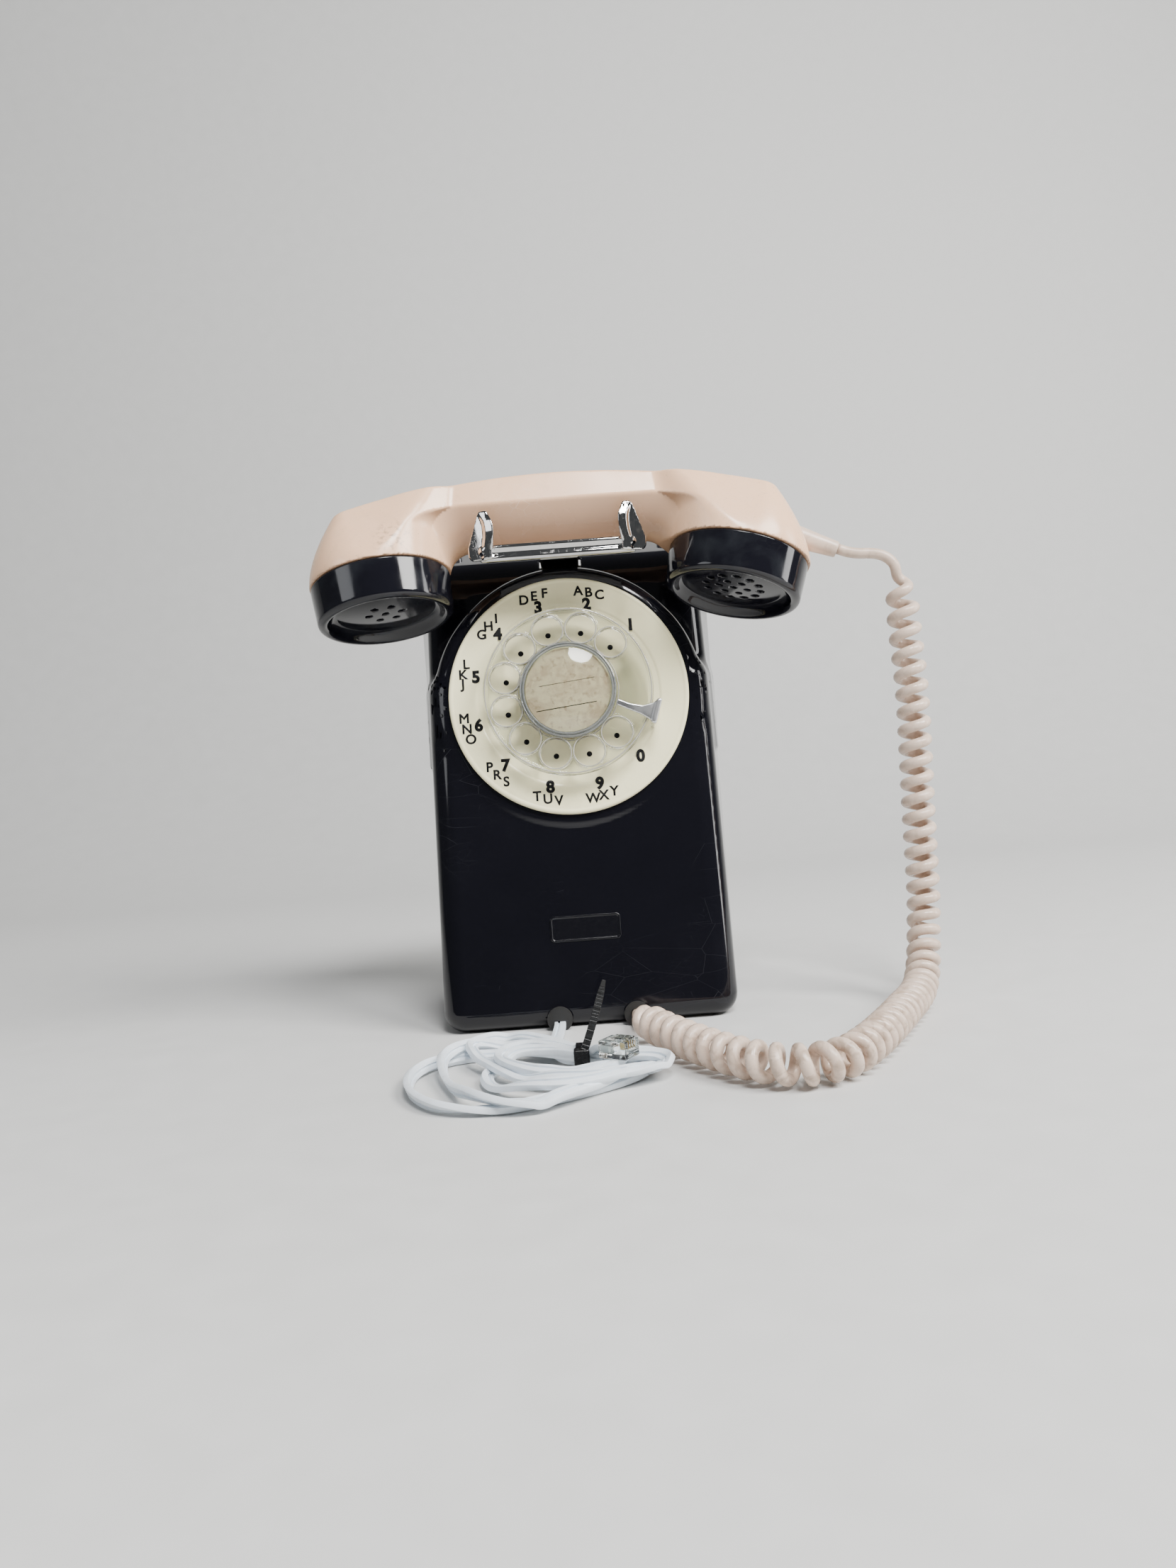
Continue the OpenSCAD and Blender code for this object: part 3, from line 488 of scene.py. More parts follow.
def handset_pink():
    p = Paint("handset_pink", (0.80, 0.52, 0.34), 0.25, Specular_IOR_Level=0.5, Subsurface_Weight=0.05,
              Subsurface_Radius=(0.004, 0.002, 0.001))
    # Painted shade: surfaces that face down are darkened towards brown, standing in for the shade under the
    # handset.
    down = p.node("ShaderNodeVectorMath", {0: p.facing, 1: (0, -0.15, -1)}, operation="DOT_PRODUCT")
    painted_underside_shade = p.ramp(down.outputs["Value"], (0.0, 0), (0.6, 1))
    smudge = p.times(p.near((-70, -45, 219), 11), p.patches(520, 6, 0.48, 0.62))
    scrape = p.times(p.near((-14, -36, 238), 18), p.lines(150, 0.012, p.at((1, 1, 2), (0.2, 0.9, 0.3))))
    hair = p.scratches(120, 0.005, (3, 1, 1), (0.4, 0.3, 0.9), 40)
    colour = p.layers(
        p.blend(p.noise(16, 4, distortion=0.8), (0.86, 0.53, 0.32), (0.93, 0.62, 0.42)),
        (painted_underside_shade, 0.75, (0.30, 0.17, 0.10)),
        (p.patches(150, 6, 0.54, 0.72, 1.0), 0.10, (0.45, 0.30, 0.19)),
        (p.patches(900, 3, 0.66, 0.72), 0.25, (0.30, 0.20, 0.13)),
        (smudge, 0.7, (0.14, 0.10, 0.08)),
        (hair, 0.18, (0.50, 0.35, 0.25)),
        (scrape, 0.9, (0.95, 0.90, 0.84)))
    rough = p.ramp(p.noise(45, 5), (0.35, 0.18), (0.7, 0.34))
    return p.wear(colour, rough, p.times(p.noise(380, 3), p.times(hair, 0.3), "SUBTRACT"), 0.00004, 0.14)


def cord_pink():
    p = Paint("cord_pink", (0.66, 0.52, 0.42), 0.3, Specular_IOR_Level=0.5, Subsurface_Weight=0.04,
              Subsurface_Radius=(0.003, 0.0015, 0.001))
    dirt = p.patches(210, 6, 0.48, 0.64, 0.9)
    table_dirt = p.times(dirt, p.near((90, -125, 4), 110))
    colour = p.layers(
        p.blend(p.noise(35, 3), (0.60, 0.46, 0.37), (0.71, 0.57, 0.47)),
        (dirt, 0.22, (0.30, 0.20, 0.13)), (table_dirt, 0.45, (0.20, 0.13, 0.08)))
    return p.wear(colour, p.ramp(p.noise(90, 4), (0.35, 0.22), (0.7, 0.4)), p.noise(300, 3), 0.00004, 0.1)


def plate_cream():
    p = Paint("plate_cream", (0.86, 0.80, 0.55), 0.22, Specular_IOR_Level=0.5, Subsurface_Weight=0.03,
              Subsurface_Radius=(0.003, 0.002, 0.001))
    hair = p.scratches(140, 0.005, (1, 1, 1.6), (0.4, 0.2, 0.9), 40)
    colour = p.layers(
        p.blend(p.noise(26, 4, distortion=0.5), (0.94, 0.87, 0.54), (0.98, 0.93, 0.63)),
        (p.patches(180, 5, 0.55, 0.75), 0.12, (0.55, 0.45, 0.24)), (hair, 0.15, (0.55, 0.48, 0.30)))
    return p.wear(colour, p.ramp(p.noise(70, 4), (0.35, 0.15), (0.7, 0.3)), p.noise(500, 2), 0.00003, 0.12)


def clear_plastic(name="clear_plastic", colour=(0.88, 0.90, 0.86), low=0.01, high=0.05, clear=1.0):
    p = Paint(name, colour, 0.03, Transmission_Weight=clear, IOR=1.49)
    hair = p.scratches(150, 0.006, (1, 1, 1.5), (0.2, 0.7, 0.4), 60)
    rough = p.times(p.ramp(p.noise(60, 4), (0.4, low), (0.75, high)), p.times(hair, 0.2), "ADD")
    return p.wear(None, rough, p.noise(120, 2), 0.00002, 0.08)


def chrome():
    p = Paint("chrome", (0.6, 0.6, 0.6), 0.06, Metallic=1.0)
    pits = p.patches(1100, 3, 0.66, 0.72)
    grime = p.patches(120, 6, 0.55, 0.78, 1.2)
    hair = p.times(p.lines(110, 0.012, p.at((2.2, 1, 1), (0.1, 0.3, 0.5))), p.noise(60, 2))
    colour = p.layers((0.60, 0.59, 0.58), (pits, 0.5, (0.16, 0.14, 0.12)), (grime, 0.4, (0.30, 0.27, 0.23)))
    rough = p.times(p.ramp(grime, (0, 0.05), (1, 0.22)), p.times(hair, 0.25), "ADD")
    return p.wear(colour, rough, p.times(p.noise(240, 2), p.times(pits, 0.5), "SUBTRACT"), 0.00004, 0.2)


def metal(name, dark, light, roughness, scale=160, stretch=(1, 1, 1)):
    p = Paint(name, light, roughness, Metallic=1.0)
    grain = p.noise(scale, 5, p.at(stretch), 0.4)
    rough = p.ramp(grain, (0.3, roughness * 0.7), (0.75, min(1, roughness * 1.5)))
    return p.wear(p.blend(grain, dark, light), rough, p.noise(scale * 5, 3, p.at(stretch)), 0.00004, 0.3)


def steel():
    return metal("steel", (0.42, 0.42, 0.43), (0.64, 0.64, 0.65), 0.22, 200, (1, 1, 6))


def brass():
    return metal("brass", (0.55, 0.40, 0.17), (0.80, 0.62, 0.30), 0.28)


def zinc_plate():
    p = Paint("zinc_plate", (0.50, 0.48, 0.40), 0.42, Metallic=0.85)
    spangle = p.node("ShaderNodeTexVoronoi", {"Vector": p.place, "Scale": 160.0}).outputs["Color"]
    tone = p.times(p.noise(40, 4), p.node("ShaderNodeSeparateColor", {"Color": spangle}).outputs[0])
    colour = p.blend(tone, (0.40, 0.39, 0.33), (0.62, 0.60, 0.50))
    return p.wear(colour, p.ramp(tone, (0, 0.5), (0.7, 0.3)), p.noise(600, 3), 0.00004, 0.3)


def phenolic():
    p = Paint("phenolic", (0.10, 0.065, 0.045), 0.4)
    swirl = p.noise(90, 6, distortion=1.8)
    colour = p.blend(swirl, (0.06, 0.04, 0.03), (0.16, 0.10, 0.07))
    return p.wear(colour, p.ramp(swirl, (0.3, 0.3), (0.7, 0.5)), p.noise(500, 3), 0.00006, 0.3)


def copper_winding():
    p = Paint("copper_winding", (0.42, 0.15, 0.06), 0.35, Metallic=0.4)
    inputs = {"Vector": p.place, "Scale": 900.0, "Distortion": 1.5}
    shade = p.node("ShaderNodeTexWave", inputs, bands_direction="X").outputs["Fac"]
    colour = p.blend(shade, (0.25, 0.08, 0.03), (0.55, 0.22, 0.10))
    return p.wear(colour, p.ramp(shade, (0, 0.5), (1, 0.28)), shade, 0.0001, 0.5)


def paper_card():
    p = Paint("paper_card", (0.80, 0.71, 0.58), 0.75)
    fibre = p.noise(900, 6)
    colour = p.layers(
        p.blend(fibre, (0.93, 0.78, 0.50), (1.0, 0.91, 0.68)),
        (p.patches(150, 6, 0.42, 0.66, 1.1), 0.6, (0.62, 0.44, 0.28)),
        (p.patches(420, 4, 0.56, 0.68), 0.55, (0.48, 0.31, 0.18)))
    return p.wear(colour, p.ramp(fibre, (0.3, 0.68), (0.7, 0.85)), fibre, 0.00008, 0.4)


def black_rubber():
    p = Paint("black_rubber", (0.02, 0.02, 0.02), 0.6)
    dust = p.noise(200, 5)
    colour = p.blend(dust, (0.006, 0.006, 0.006), (0.016, 0.015, 0.014))
    return p.wear(colour, p.ramp(dust, (0.3, 0.5), (0.7, 0.75)), p.noise(900, 3), 0.00008, 0.4)


def black_nylon():
    p = Paint("black_nylon", (0.015, 0.015, 0.016), 0.35)
    tone = p.noise(300, 4)
    colour = p.blend(tone, (0.004, 0.004, 0.004), (0.010, 0.010, 0.011))
    return p.wear(colour, p.ramp(tone, (0.3, 0.2), (0.7, 0.34)), p.noise(1200, 3), 0.00005, 0.3)


def cord_white():
    p = Paint("cord_white", (0.82, 0.84, 0.87), 0.36, Subsurface_Weight=0.06,
              Subsurface_Radius=(0.002, 0.002, 0.002))
    colour = p.layers(
        p.blend(p.noise(40, 3), (0.76, 0.84, 0.91), (0.84, 0.88, 0.93)),
        (p.patches(160, 5, 0.48, 0.72, 0.8), 0.16, (0.45, 0.44, 0.42)))
    return p.wear(colour, p.ramp(p.noise(90, 4), (0.35, 0.28), (0.7, 0.46)), p.noise(800, 3), 0.00004, 0.2)


FINISHES = [
    black_shell, black_cap, handset_pink, cord_pink, plate_cream, clear_plastic, chrome, steel, zinc_plate,
    brass, phenolic, copper_winding, paper_card, black_rubber, black_nylon, cord_white,
]
made_finishes = {}


def finish(slot):
    if slot not in made_finishes:
        made_finishes[slot] = next(f for f in FINISHES if f.__name__ == slot)()
    return made_finishes[slot]


for part in frame["record"]["subparts"]:
    node_mesh = frame["nodes"][part["node"]].data
    node_mesh.materials.clear()
    node_mesh.materials.append(finish(part["material_slot"]))

# ---- Cords: the routes are part.scad's ----

LEAD = [
    (126, -19, 204), (130, -19, 202.4), (135, -19, 201.3), (140, -19, 201), (144, -19, 200.3),
    (148, -19, 198.4), (151, -19, 195.3), (152.6, -19, 192),
]
COIL = [
    (153, -19, 189), (154, -19, 165), (155, -20, 140), (155, -20, 115), (154.6, -20, 90), (154.4, -20, 65),
    (154, -21, 46), (152, -25, 30), (148.4, -34, 17), (143, -47, 10),
] + [(x, y, 8.2) for x, y in (
    (136, -62), (127, -80), (118, -98), (109, -115), (99, -132), (89, -145), (77, -151), (65, -148), (55, -138),
    (46, -124), (38, -108), (31, -92), (25, -76), (22, -62)
)]
COIL_END = [(21, -56, 6.4), (20.4, -50.5, 4.8), (20, -45, 4.5), (20, -38.4, 4.5)]
CORD_D = 4.9
COIL_R = 5.2
COIL_EARLY, COIL_FADE = 9, 22
AXIS_STEP, CORD_STEP = 0.25, 1.25
# How far along the coil, and the pitch of its turns there
PITCHES = [
    (-10, 24), (8, 9.6), (40, 8.4), (120, 7.8), (165, 7.5), (280, 7.7), (340, 8.4), (414, 9.6), (428, 24),
]


def make_handset_cord():
    axis = curve_through(LEAD + COIL + COIL_END, AXIS_STEP)
    run = run_of(axis)
    first, last = (run[np.argmin(np.linalg.norm(axis - np.array(p), axis=1))] for p in (COIL[0], COIL[-1]))
    sides = carried_sides(axis, (0, -1, 0))
    ups = np.cross(directions(axis), sides)
    pitch = np.interp(run - first, *zip(*PITCHES))
    swell = smooth((run - first + COIL_EARLY) / COIL_FADE)
    shrink = smooth((last - run + COIL_EARLY) / COIL_FADE)
    reach = (COIL_R * swell * shrink)[:, None]
    phase = np.cumsum(2 * np.pi * AXIS_STEP / pitch)[:, None]
    line = even(axis + reach * (np.cos(phase) * sides + np.sin(phase) * ups), CORD_STEP)
    tube = swept(line, carried_sides(line, (0, -1, 0)), ring_section(CORD_D / 2, 12))
    piece = add(
        mesh_of("handset_cord", *tube), None, "cord_pink",
        ("handset_cord_lead", "handset_cord_coil", "handset_cord_end"))
    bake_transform(piece)


LINE = [
    (-14, -38.4, 2.6), (-14, -44, 2.4), (-14.4, -52, 2.2), (-15, -62, 1.8), (-15.4, -72, 1.8), (-15, -82, 2),
]
TIE_AT = np.array((-4, -106))
PLUG = Matrix.Translation((2.3, -122.5, 8.1)) @ Matrix.Rotation(math.radians(-35), 4, "Z")
FLAT_W = 5
FLAT_H = 2.4
CLEAR_OF_TABLE, CLEAR_OF_STRAND, HANK_TOP = 0.35, 0.05, 7.9
TIE_REACH, CROSSING_REACH = 9, 4.3
OWN_RUN = 26  # points of a strand that are too near along it to be crossed
HUMP = 9  # half the length of a hump's smoothing, in points
FREE_REACH, TWIST = 18, 24  # how far from the tie strands bank with their way, and the most degrees
LEAD_LEVEL, LEAD_FADE, PLUG_LEVEL, PLUG_FADE = 45, 20, 24, 15  # points by each end that stay level
LEAD_DROP = (0, 6, 14, 40), (2.6, 2.4, 2.0, 1.4)  # heights by the foot
PLUG_RISE, PLUG_RISE_FADE = 16, 12
# Each turn of the hank: x, y and how far the strand is banked off flat, in degrees
TURNS = [
    [(-13, -92, 0), (-9, -100, 0), (-4, -103, 0), (4, -103, 0), (12, -106, 0), (18, -111, 10), (20, -119, 20),
     (14, -128, 10), (1, -138, 0), (-14, -147, 0), (-30, -154, 10), (-45, -154, 35), (-58, -146, 60),
     (-67, -129, 70), (-69.5, -110, 70), (-66, -96, 55), (-56, -86, 25), (-42, -83, 0), (-28, -88, 0),
     (-14, -99, 0), (-4, -108.5, 0)],
    [(4, -114, 0), (9.5, -121, 15), (9, -131, 20), (1, -142, 0), (-11, -152, 0), (-24, -158.5, 20),
     (-37, -154, 45), (-46, -142, 60), (-52, -127, 65), (-56.5, -112, 65), (-58.5, -98, 60), (-55, -85, 40),
     (-45, -77, 15), (-32, -77, 0), (-17, -89, 0), (-4, -103, 0)],
    [(8, -104, 0), (17, -106, 10), (24.5, -112, 30), (24, -121, 30), (15, -133, 10), (2, -142, 0),
     (-12, -145, 0), (-26, -140, 10), (-36.5, -129, 20), (-40, -115, 25), (-36, -103, 15), (-27, -97, 0),
     (-15, -100, 0), (-4, -108.5, 0)],
    [(5, -113, 0), (15, -113.5, 0), (24, -116, 15), (28, -122.5, 40), (24, -130.5, 20), (13, -136, 0),
     (-1, -138, 0), (-15, -134, 0), (-28, -124, 0), (-38, -109, 10), (-46, -94, 25), (-48.5, -81, 35),
     (-41.5, -71.5, 20), (-30, -72.5, 0), (-17, -86, 0), (-4, -103, 0)],
    [(5, -106, 0), (11, -113, 10), (9.5, -123, 15), (-2, -130, 0), (-17, -128, 0), (-29.5, -118, 10),
     (-35.5, -105, 20), (-33, -94, 15), (-24, -90, 0), (-14, -98, 0), (-4, -108.5, 0), (1.5, -114, 0)],
]


def stacked(line, bank):
    """Heights for a flat cord laid down along the line: it passes over what is already there in long low humps."""
    half = np.hypot(FLAT_H / 2 * np.cos(bank), FLAT_W / 2 * np.sin(bank))
    strap = np.exp(-(np.linalg.norm(line - TIE_AT, axis=1) / TIE_REACH) ** 2)
    floor = half + CLEAR_OF_TABLE + strap
    z = floor.copy()
    below = []
    for i in range(len(line)):
        near = np.linalg.norm(line[:max(0, i - OWN_RUN)] - line[i], axis=1) < CROSSING_REACH
        below.append(np.nonzero(near)[0])
    for _ in range(5):
        for i in range(len(line)):
            if len(below[i]):
                z[i] = max(z[i], (z[below[i]] + half[below[i]]).max() + half[i] + CLEAR_OF_STRAND)
        z = np.minimum(z, HANK_TOP - half)
        wide = np.array([z[max(0, i - 4):i + 5].max() for i in range(len(z))])
        kernel = np.exp(-(np.arange(-HUMP, HUMP + 1) / (HUMP / 2)) ** 2)
        z = np.convolve(np.pad(wide, HUMP, "edge"), kernel / kernel.sum(), "valid")
        z = np.maximum(z, floor)
    return z


def flat_section():
    """A flat cord's outline with a groove along each face, a little off its middle."""
    across = np.array([-2.5, -2.47, -2.36, -2.0, -1.1, -0.9, -0.15, 0.05, 2.0, 2.36, 2.47, 2.5])
    rise = np.array([0, 0.8, 1.1, 1.2, 1.2, 0.4, 0.4, 1.2, 1.2, 1.1, 0.8, 0])
    top = np.stack([across, rise], -1)
    return np.concatenate([top, np.stack([across[-2:0:-1], -rise[-2:0:-1]], -1)])[::-1]


def make_line_cord():
    hank = [(x, y, bank) for turn in TURNS for x, y, bank in turn]
    exit_run = [(x, y, 0) for x, y, _ in LINE]
    plug_end = PLUG @ Vector((0, 4.85, 3.2))
    plug_way = PLUG.to_3x3() @ Vector((1, 0, 0))
    last = plug_end + 3.5 * plug_way
    route = curve_through(exit_run + hank + [(plug_end.x, plug_end.y, 0), (last.x, last.y, 0)], 1.0)
    flat, bank = route[:, :2], np.radians(route[:, 2])
    ahead = directions(np.column_stack([flat, np.zeros(len(flat))]))[:, 0]
    free = 1 - np.exp(-(np.linalg.norm(flat - TIE_AT, axis=1) / FREE_REACH) ** 2)
    done = np.arange(len(flat))
    left = len(flat) - 1 - done
    ends = smooth((done - LEAD_LEVEL) / LEAD_FADE) * smooth((left - PLUG_LEVEL) / PLUG_FADE)
    bank = bank + np.radians(TWIST) * ahead * free * ends * np.clip(1 - np.abs(bank), 0, 1)
    z = stacked(flat, bank)
    z = np.where(done < LEAD_DROP[0][-1], np.interp(done, *LEAD_DROP), z)
    z = mix(z, plug_end.z, smooth((PLUG_RISE - left) / PLUG_RISE_FADE))
    line = np.column_stack([flat, z])
    d = directions(line)
    level = np.cross(np.array((0, 0, 1.0)), d)
    level /= np.linalg.norm(level, axis=1)[:, None]
    up = np.cross(d, level)
    sides = np.cos(bank)[:, None] * level + np.sin(bank)[:, None] * up
    cord = add(mesh_of("line_cord", *swept(line, sides, flat_section())), "base", "cord_white",
               ("line_cord_lead", "line_cord_bundle"))
    cord.data.set_sharp_from_angle(angle=math.radians(40))
    return cord, line


def strip(name, path, sides, width, thick):
    """A strap of the cable tie with bevelled edges. Its width and thickness can change from point to point."""
    square = [(-0.5, -0.5), (0.5, -0.5), (0.5, 0.5), (-0.5, 0.5)]
    piece = add(mesh_of(name, *swept(path, sides, square, width, thick)), "base", "black_nylon")
    bevel = piece.modifiers.new("bevel", "BEVEL")
    bevel.width = 0.12 * MM
    bevel.segments = 2
    bevel.limit_method = "ANGLE"
    bevel.angle_limit = math.radians(38)
    bevel.harden_normals = True
    return piece


def carved(name, distance, low, high, step, body, slot, replaced=(), place=HERE, coat=None):
    return add(mesh_of(name, *carve(distance, low, high, step), place), body, slot, replaced, coat)


def make_tie():
    """The strap round the hank, its square head, and the notched tail that stands up from it."""
    loop = rounded_line([
        (-4, -106, 0.55), (-4, -99, 0.55), (-4, -99, 8.6), (-4, -113, 8.6), (-4, -113, 0.55), (-4, -106, 0.55)
    ], 2.4, 4)
    strap = strip("tie_strap", loop, np.tile((1.0, 0, 0), (len(loop), 1)), 4.6, 1.0)
    head_low, head_high = np.array((-7, -116.6, 3.6)), np.array((-1, -111.6, 10))

    def head(p):
        solid = block(p, (head_low + head_high) / 2, (head_high - head_low) / 2, 0.8)
        mouth = block(p, (-4, -115, 9), (1.9, 0.6, 4), 0.1)
        return both(solid, -mouth, 0.1)
    piece = carved("tie_head", head, head_low - 1, head_high + 1, 0.3, "base", "black_nylon", ("zip_tie",))
    lean, back = math.radians(20), math.radians(6)
    way = np.array((math.sin(lean), math.sin(back) * math.cos(lean), math.cos(lean) * math.cos(back)))
    steps = np.arange(0, 31.2, 0.3)
    bow = 1.2 * np.sin(np.pi * steps / 31)
    tail = np.array((-4.2, -115, 6)) + steps[:, None] * way + bow[:, None] * np.array((0.35, 0.5, 0))
    side = np.cross(way, (0, 1, 0))
    side = np.tile(side / np.linalg.norm(side), (len(steps), 1))
    teeth = np.where((steps % 1.2 < 0.6) & (steps > 3.5) & (steps < 29), 1.05, 0.72)
    taper = np.interp(steps, (0, 25, 31), (3.0, 2.7, 1.4))
    return [strap, piece, strip("tie_tail", tail, side, taper, teeth)]


def comb(p, x, z, half, r):
    """Distance to a row of four blocks, where the plug's contacts are."""
    return np.minimum.reduce([block(p, (x, y, z), half, r) for y in (2.6, 4.1, 5.6, 7.1)])


def make_plug():
    """A clear modular plug with its latch, comb of slots and four gilt contacts."""
    def plug(p):
        solid = block(p, (6, 4.85, 3.3), (5.95, 4.8, 3.25), 0.45)
        cave = block(p, (2, 4.85, 3.2), (4.2, 2.8, 1.5), 0.3)
        window = block(p, (3.4, 4.85, 6.2), (1.5, 2.2, 1.4), 0.3)
        latch = block(p, (8, 4.85, 7.35), (4, 2.3, 0.4), 0.25)
        hinge = block(p, (11.4, 4.85, 6.9), (0.55, 2.3, 0.8), 0.2)
        solid = np.minimum(either(both(both(solid, -cave, 0.1), -window, 0.1), hinge, 0.3), latch)
        return both(solid, -comb(p, 10.6, 5.6, (1.8, 0.3, 1.6), 0.05), 0.05)
    body = carved("plug_body", plug, (-0.6, -0.6, -0.6), (12.6, 10.3, 8.4), 0.28, "base", "clear_plastic",
                  ("modular_plug",), PLUG)

    def contacts(p):
        return comb(p, 10.3, 4.9, (1.5, 0.22, 1.3), 0.08)
    gold = carved("plug_contacts", contacts, (8, 2, 3), (12.2, 7.8, 6.7), 0.2, "base", "brass", (), PLUG)
    return [body, gold]


make_handset_cord()
line_cord, line_path = make_line_cord()
make_plug() + make_tie()

# ---- Housing ----

CORNER_R = 10
SHOULDER_Z = 162
BODY_D = 92
WALL = 2.6
BOSS_R, BOSS_FILLET, BOSS_BACK = 62.5, 7.5, 34
TOP_SLOPE = math.radians(23.2)


def face_depth(z):
    return BODY_D - z * math.tan(FACE_LEAN)


def shell(p):
    """The outer form: a lower block with a leaning face, a shallower top, and the dial's round boss."""
    x, depth, z = np.abs(p[:, 0]), HALF_D - p[:, 1], p[:, 2]
    forward = depth / face_depth(z)
    side = x - mix(75 - z / SHOULDER_Z * 2, 65 - z / SHOULDER_Z * 1.5, forward)
    face = (depth - face_depth(z)) * math.cos(FACE_LEAN)
    lower = both(both(both(side, face, CORNER_R), -z, 9), z - SHOULDER_Z, CORNER_R)
    front_d = 41 - (z - 140) * 3 / 65
    upper_side = x - mix(73, 67 - (z - 140) * 3 / 65, depth / front_d)
    top = (z - BODY_H + math.tan(TOP_SLOPE) * (depth - 2)) * math.cos(TOP_SLOPE)
    upper = both(both(both(upper_side, depth - front_d, CORNER_R), top, 12), z - BODY_H, 0.5)
    upper = np.maximum(upper, 120 - z)
    q = into(DIAL, p)
    boss = both(np.hypot(q[:, 0], q[:, 1]) - BOSS_R, q[:, 2], BOSS_FILLET)
    boss = np.maximum(boss, -BOSS_BACK - q[:, 2])
    return either(either(lower, upper, 4), boss, 3)


def arch(p, x, r):
    out = np.hypot(p[:, 0] - x, p[:, 2] - 4.6) - r
    foot = np.maximum(np.abs(p[:, 0] - x) - r, p[:, 2] - 4.6)
    return np.maximum(np.minimum(out, foot), p[:, 1] + 28)


def housing(p):
    solid = shell(p)
    solid = both(solid, -(solid + WALL), 0.5)
    depth = HALF_D - p[:, 1]
    q = into(DIAL, p)
    hole = both(np.hypot(q[:, 0], q[:, 1]) - 50, -BOSS_BACK - q[:, 2], 0.5)
    floor = block(p, (0, HALF_D - 41, 2), (57, 33, 3), 0.5)
    slot = block(p, (0, HALF_D - 34, 211.6), (10, 11, 4.6), 1.5)
    cuts = np.minimum.reduce([hole, floor, slot, arch(p, 20, 4.6), arch(p, -14, 4.6)])
    return both(np.maximum(solid, -depth), -cuts, 0.2)


def make_housing():
    carved("housing_shell", housing, (-77, -43, -1), (77, 54, 229), 1.6, "base", "black_shell", ("housing",))
    at = Vector((0, HALF_D - face_depth(43), 43))
    place = Matrix.Translation(at) @ Matrix.Rotation(math.pi / 2 - FACE_LEAN, 4, "X")

    def nameplate(p):
        q = np.abs(p[:, :2]) - np.array((15.8, 5.8)) + 2
        edge = np.linalg.norm(np.maximum(q, 0), axis=1) + np.minimum(q.max(1), 0) - 2
        rim = both(np.abs(edge + 0.55) - 0.5, np.abs(p[:, 2]) - 0.38, 0.3)
        field = both(edge + 0.6, np.abs(p[:, 2]) - 0.12, 0.1)
        return either(rim, field, 0.15)
    satin = Paint("satin_black", (0.004, 0.004, 0.006), 0.2)
    satin.wear(None, satin.ramp(satin.noise(900, 4), (0.3, 0.12), (0.7, 0.24)), satin.noise(700, 3), 0.00003, 0.08)
    carved("nameplate", nameplate, (-16.6, -6.6, -0.6), (16.6, 6.6, 0.7), 0.24, "base", "black_shell", (), place,
           satin.material)


make_housing()

# ---- Handset ----

BACK_R = 345.7
BACK_HIGH = 42
CREASE_Z = 27.7
UNDER_Z = 12.5


def handle(p):
    """The grip and its two cups: a crowned back, sides that flow into the cups, and a hollow underneath."""
    x, y, z = np.abs(p[:, 0]), np.abs(p[:, 1]), p[:, 2]
    tilt = np.where(p[:, 0] < 0, math.tan(TILT[-1]), math.tan(TILT[1]))
    rim = -(np.maximum(x, 47) - HALF_SPAN) * tilt + 0.3
    back = BACK_HIGH - BACK_R + np.sqrt(BACK_R ** 2 - np.minimum(x, 150) ** 2)
    u = x - HALF_SPAN
    t = np.clip((z - rim) / np.maximum(back - rim, 1), 0, 1)
    out = np.where(u > 0, CAP_R - 14.1 * t ** 1.7, CAP_R)
    wide = CAP_R - 12.5 * t ** 1.3
    corner = mix(CAP_R, 6, t)
    q = np.stack([np.abs(u) - out + corner, y - wide + corner], -1)
    cup = np.linalg.norm(np.maximum(q, 0), axis=1) + np.minimum(q.max(1), 0) - corner
    rise = np.clip((z - CREASE_Z) / np.maximum(back - CREASE_Z, 1), 0, 1)
    grip = y - mix(mix(17, 15.4, rise), wide - 6 * smooth((x - 58) / 22), smooth((x - 44) / 38))
    grip = np.maximum(grip, u)
    body = either(grip, cup, 6)
    body = both(body, z - back + 1.0 * np.minimum(y / 17, 1.3) ** 2, 0.9)
    ring = np.where(u < 0, CAP_R - np.hypot(u, y), CAP_R - y + u)
    under = z - UNDER_Z - (CREASE_Z - UNDER_Z) * np.minimum(y / 17, 1) ** 2
    body = both(body, -both(ring, under, 11), 0.7)
    return both(body, rim - z, 0.5)


def cap(count):
    """A cap's rounded drum with a dished face and its ring pattern of holes."""
    rings = {7: [(1, 0), (6, 7.4)], 19: [(1, 0), (6, 6.4), (12, 12.4)]}[count]
    holes = [polar(r, 2 * math.pi * k / n) for n, r in rings for k in range(n)]

    def distance(p):
        out, z = np.hypot(p[:, 0], p[:, 1]), p[:, 2]
        body = both(out - mix(CAP_R, 30.4, -z / CAP_H), -z - CAP_H, 2.4)
        body = both(body, z + 0.15, 0.7)
        dish = both(out - 24.6 - 0.5 * (-z - 14), z + 14.2 - 0.0022 * out ** 2, 2.5)
        body = both(body, -dish, 1.0)
        return both(body, -np.maximum(nearest(p, holes) - 1.5, z + 10), 0.3)
    return distance


def make_handset():
    carved("handset_shell", handle, (-117, -35, -14), (117, 35, 44), 0.95, "handset", "handset_pink",
           ("handset_handle",), HANDSET)
    for side, node, count in ((-1, "receiver_cap", 7), (1, "transmitter_cap", 19)):
        carved(node + "_shell", cap(count), (-33, -33, -19), (33, 33, 1), 0.75, "handset", "black_cap", (node,),
               cap_place(side))
    profile = [(0, -2), (5, -2), (5, 0.4), (4.7, 4), (4.2, 10), (3.85, 15), (3.7, 17.6), (3.5, 18), (0, 18)]
    add(turned("cord_boot_sleeve", profile, BOOT, 48), "handset", "cord_pink", ("cord_boot",))


make_handset()

# ---- Hook ----

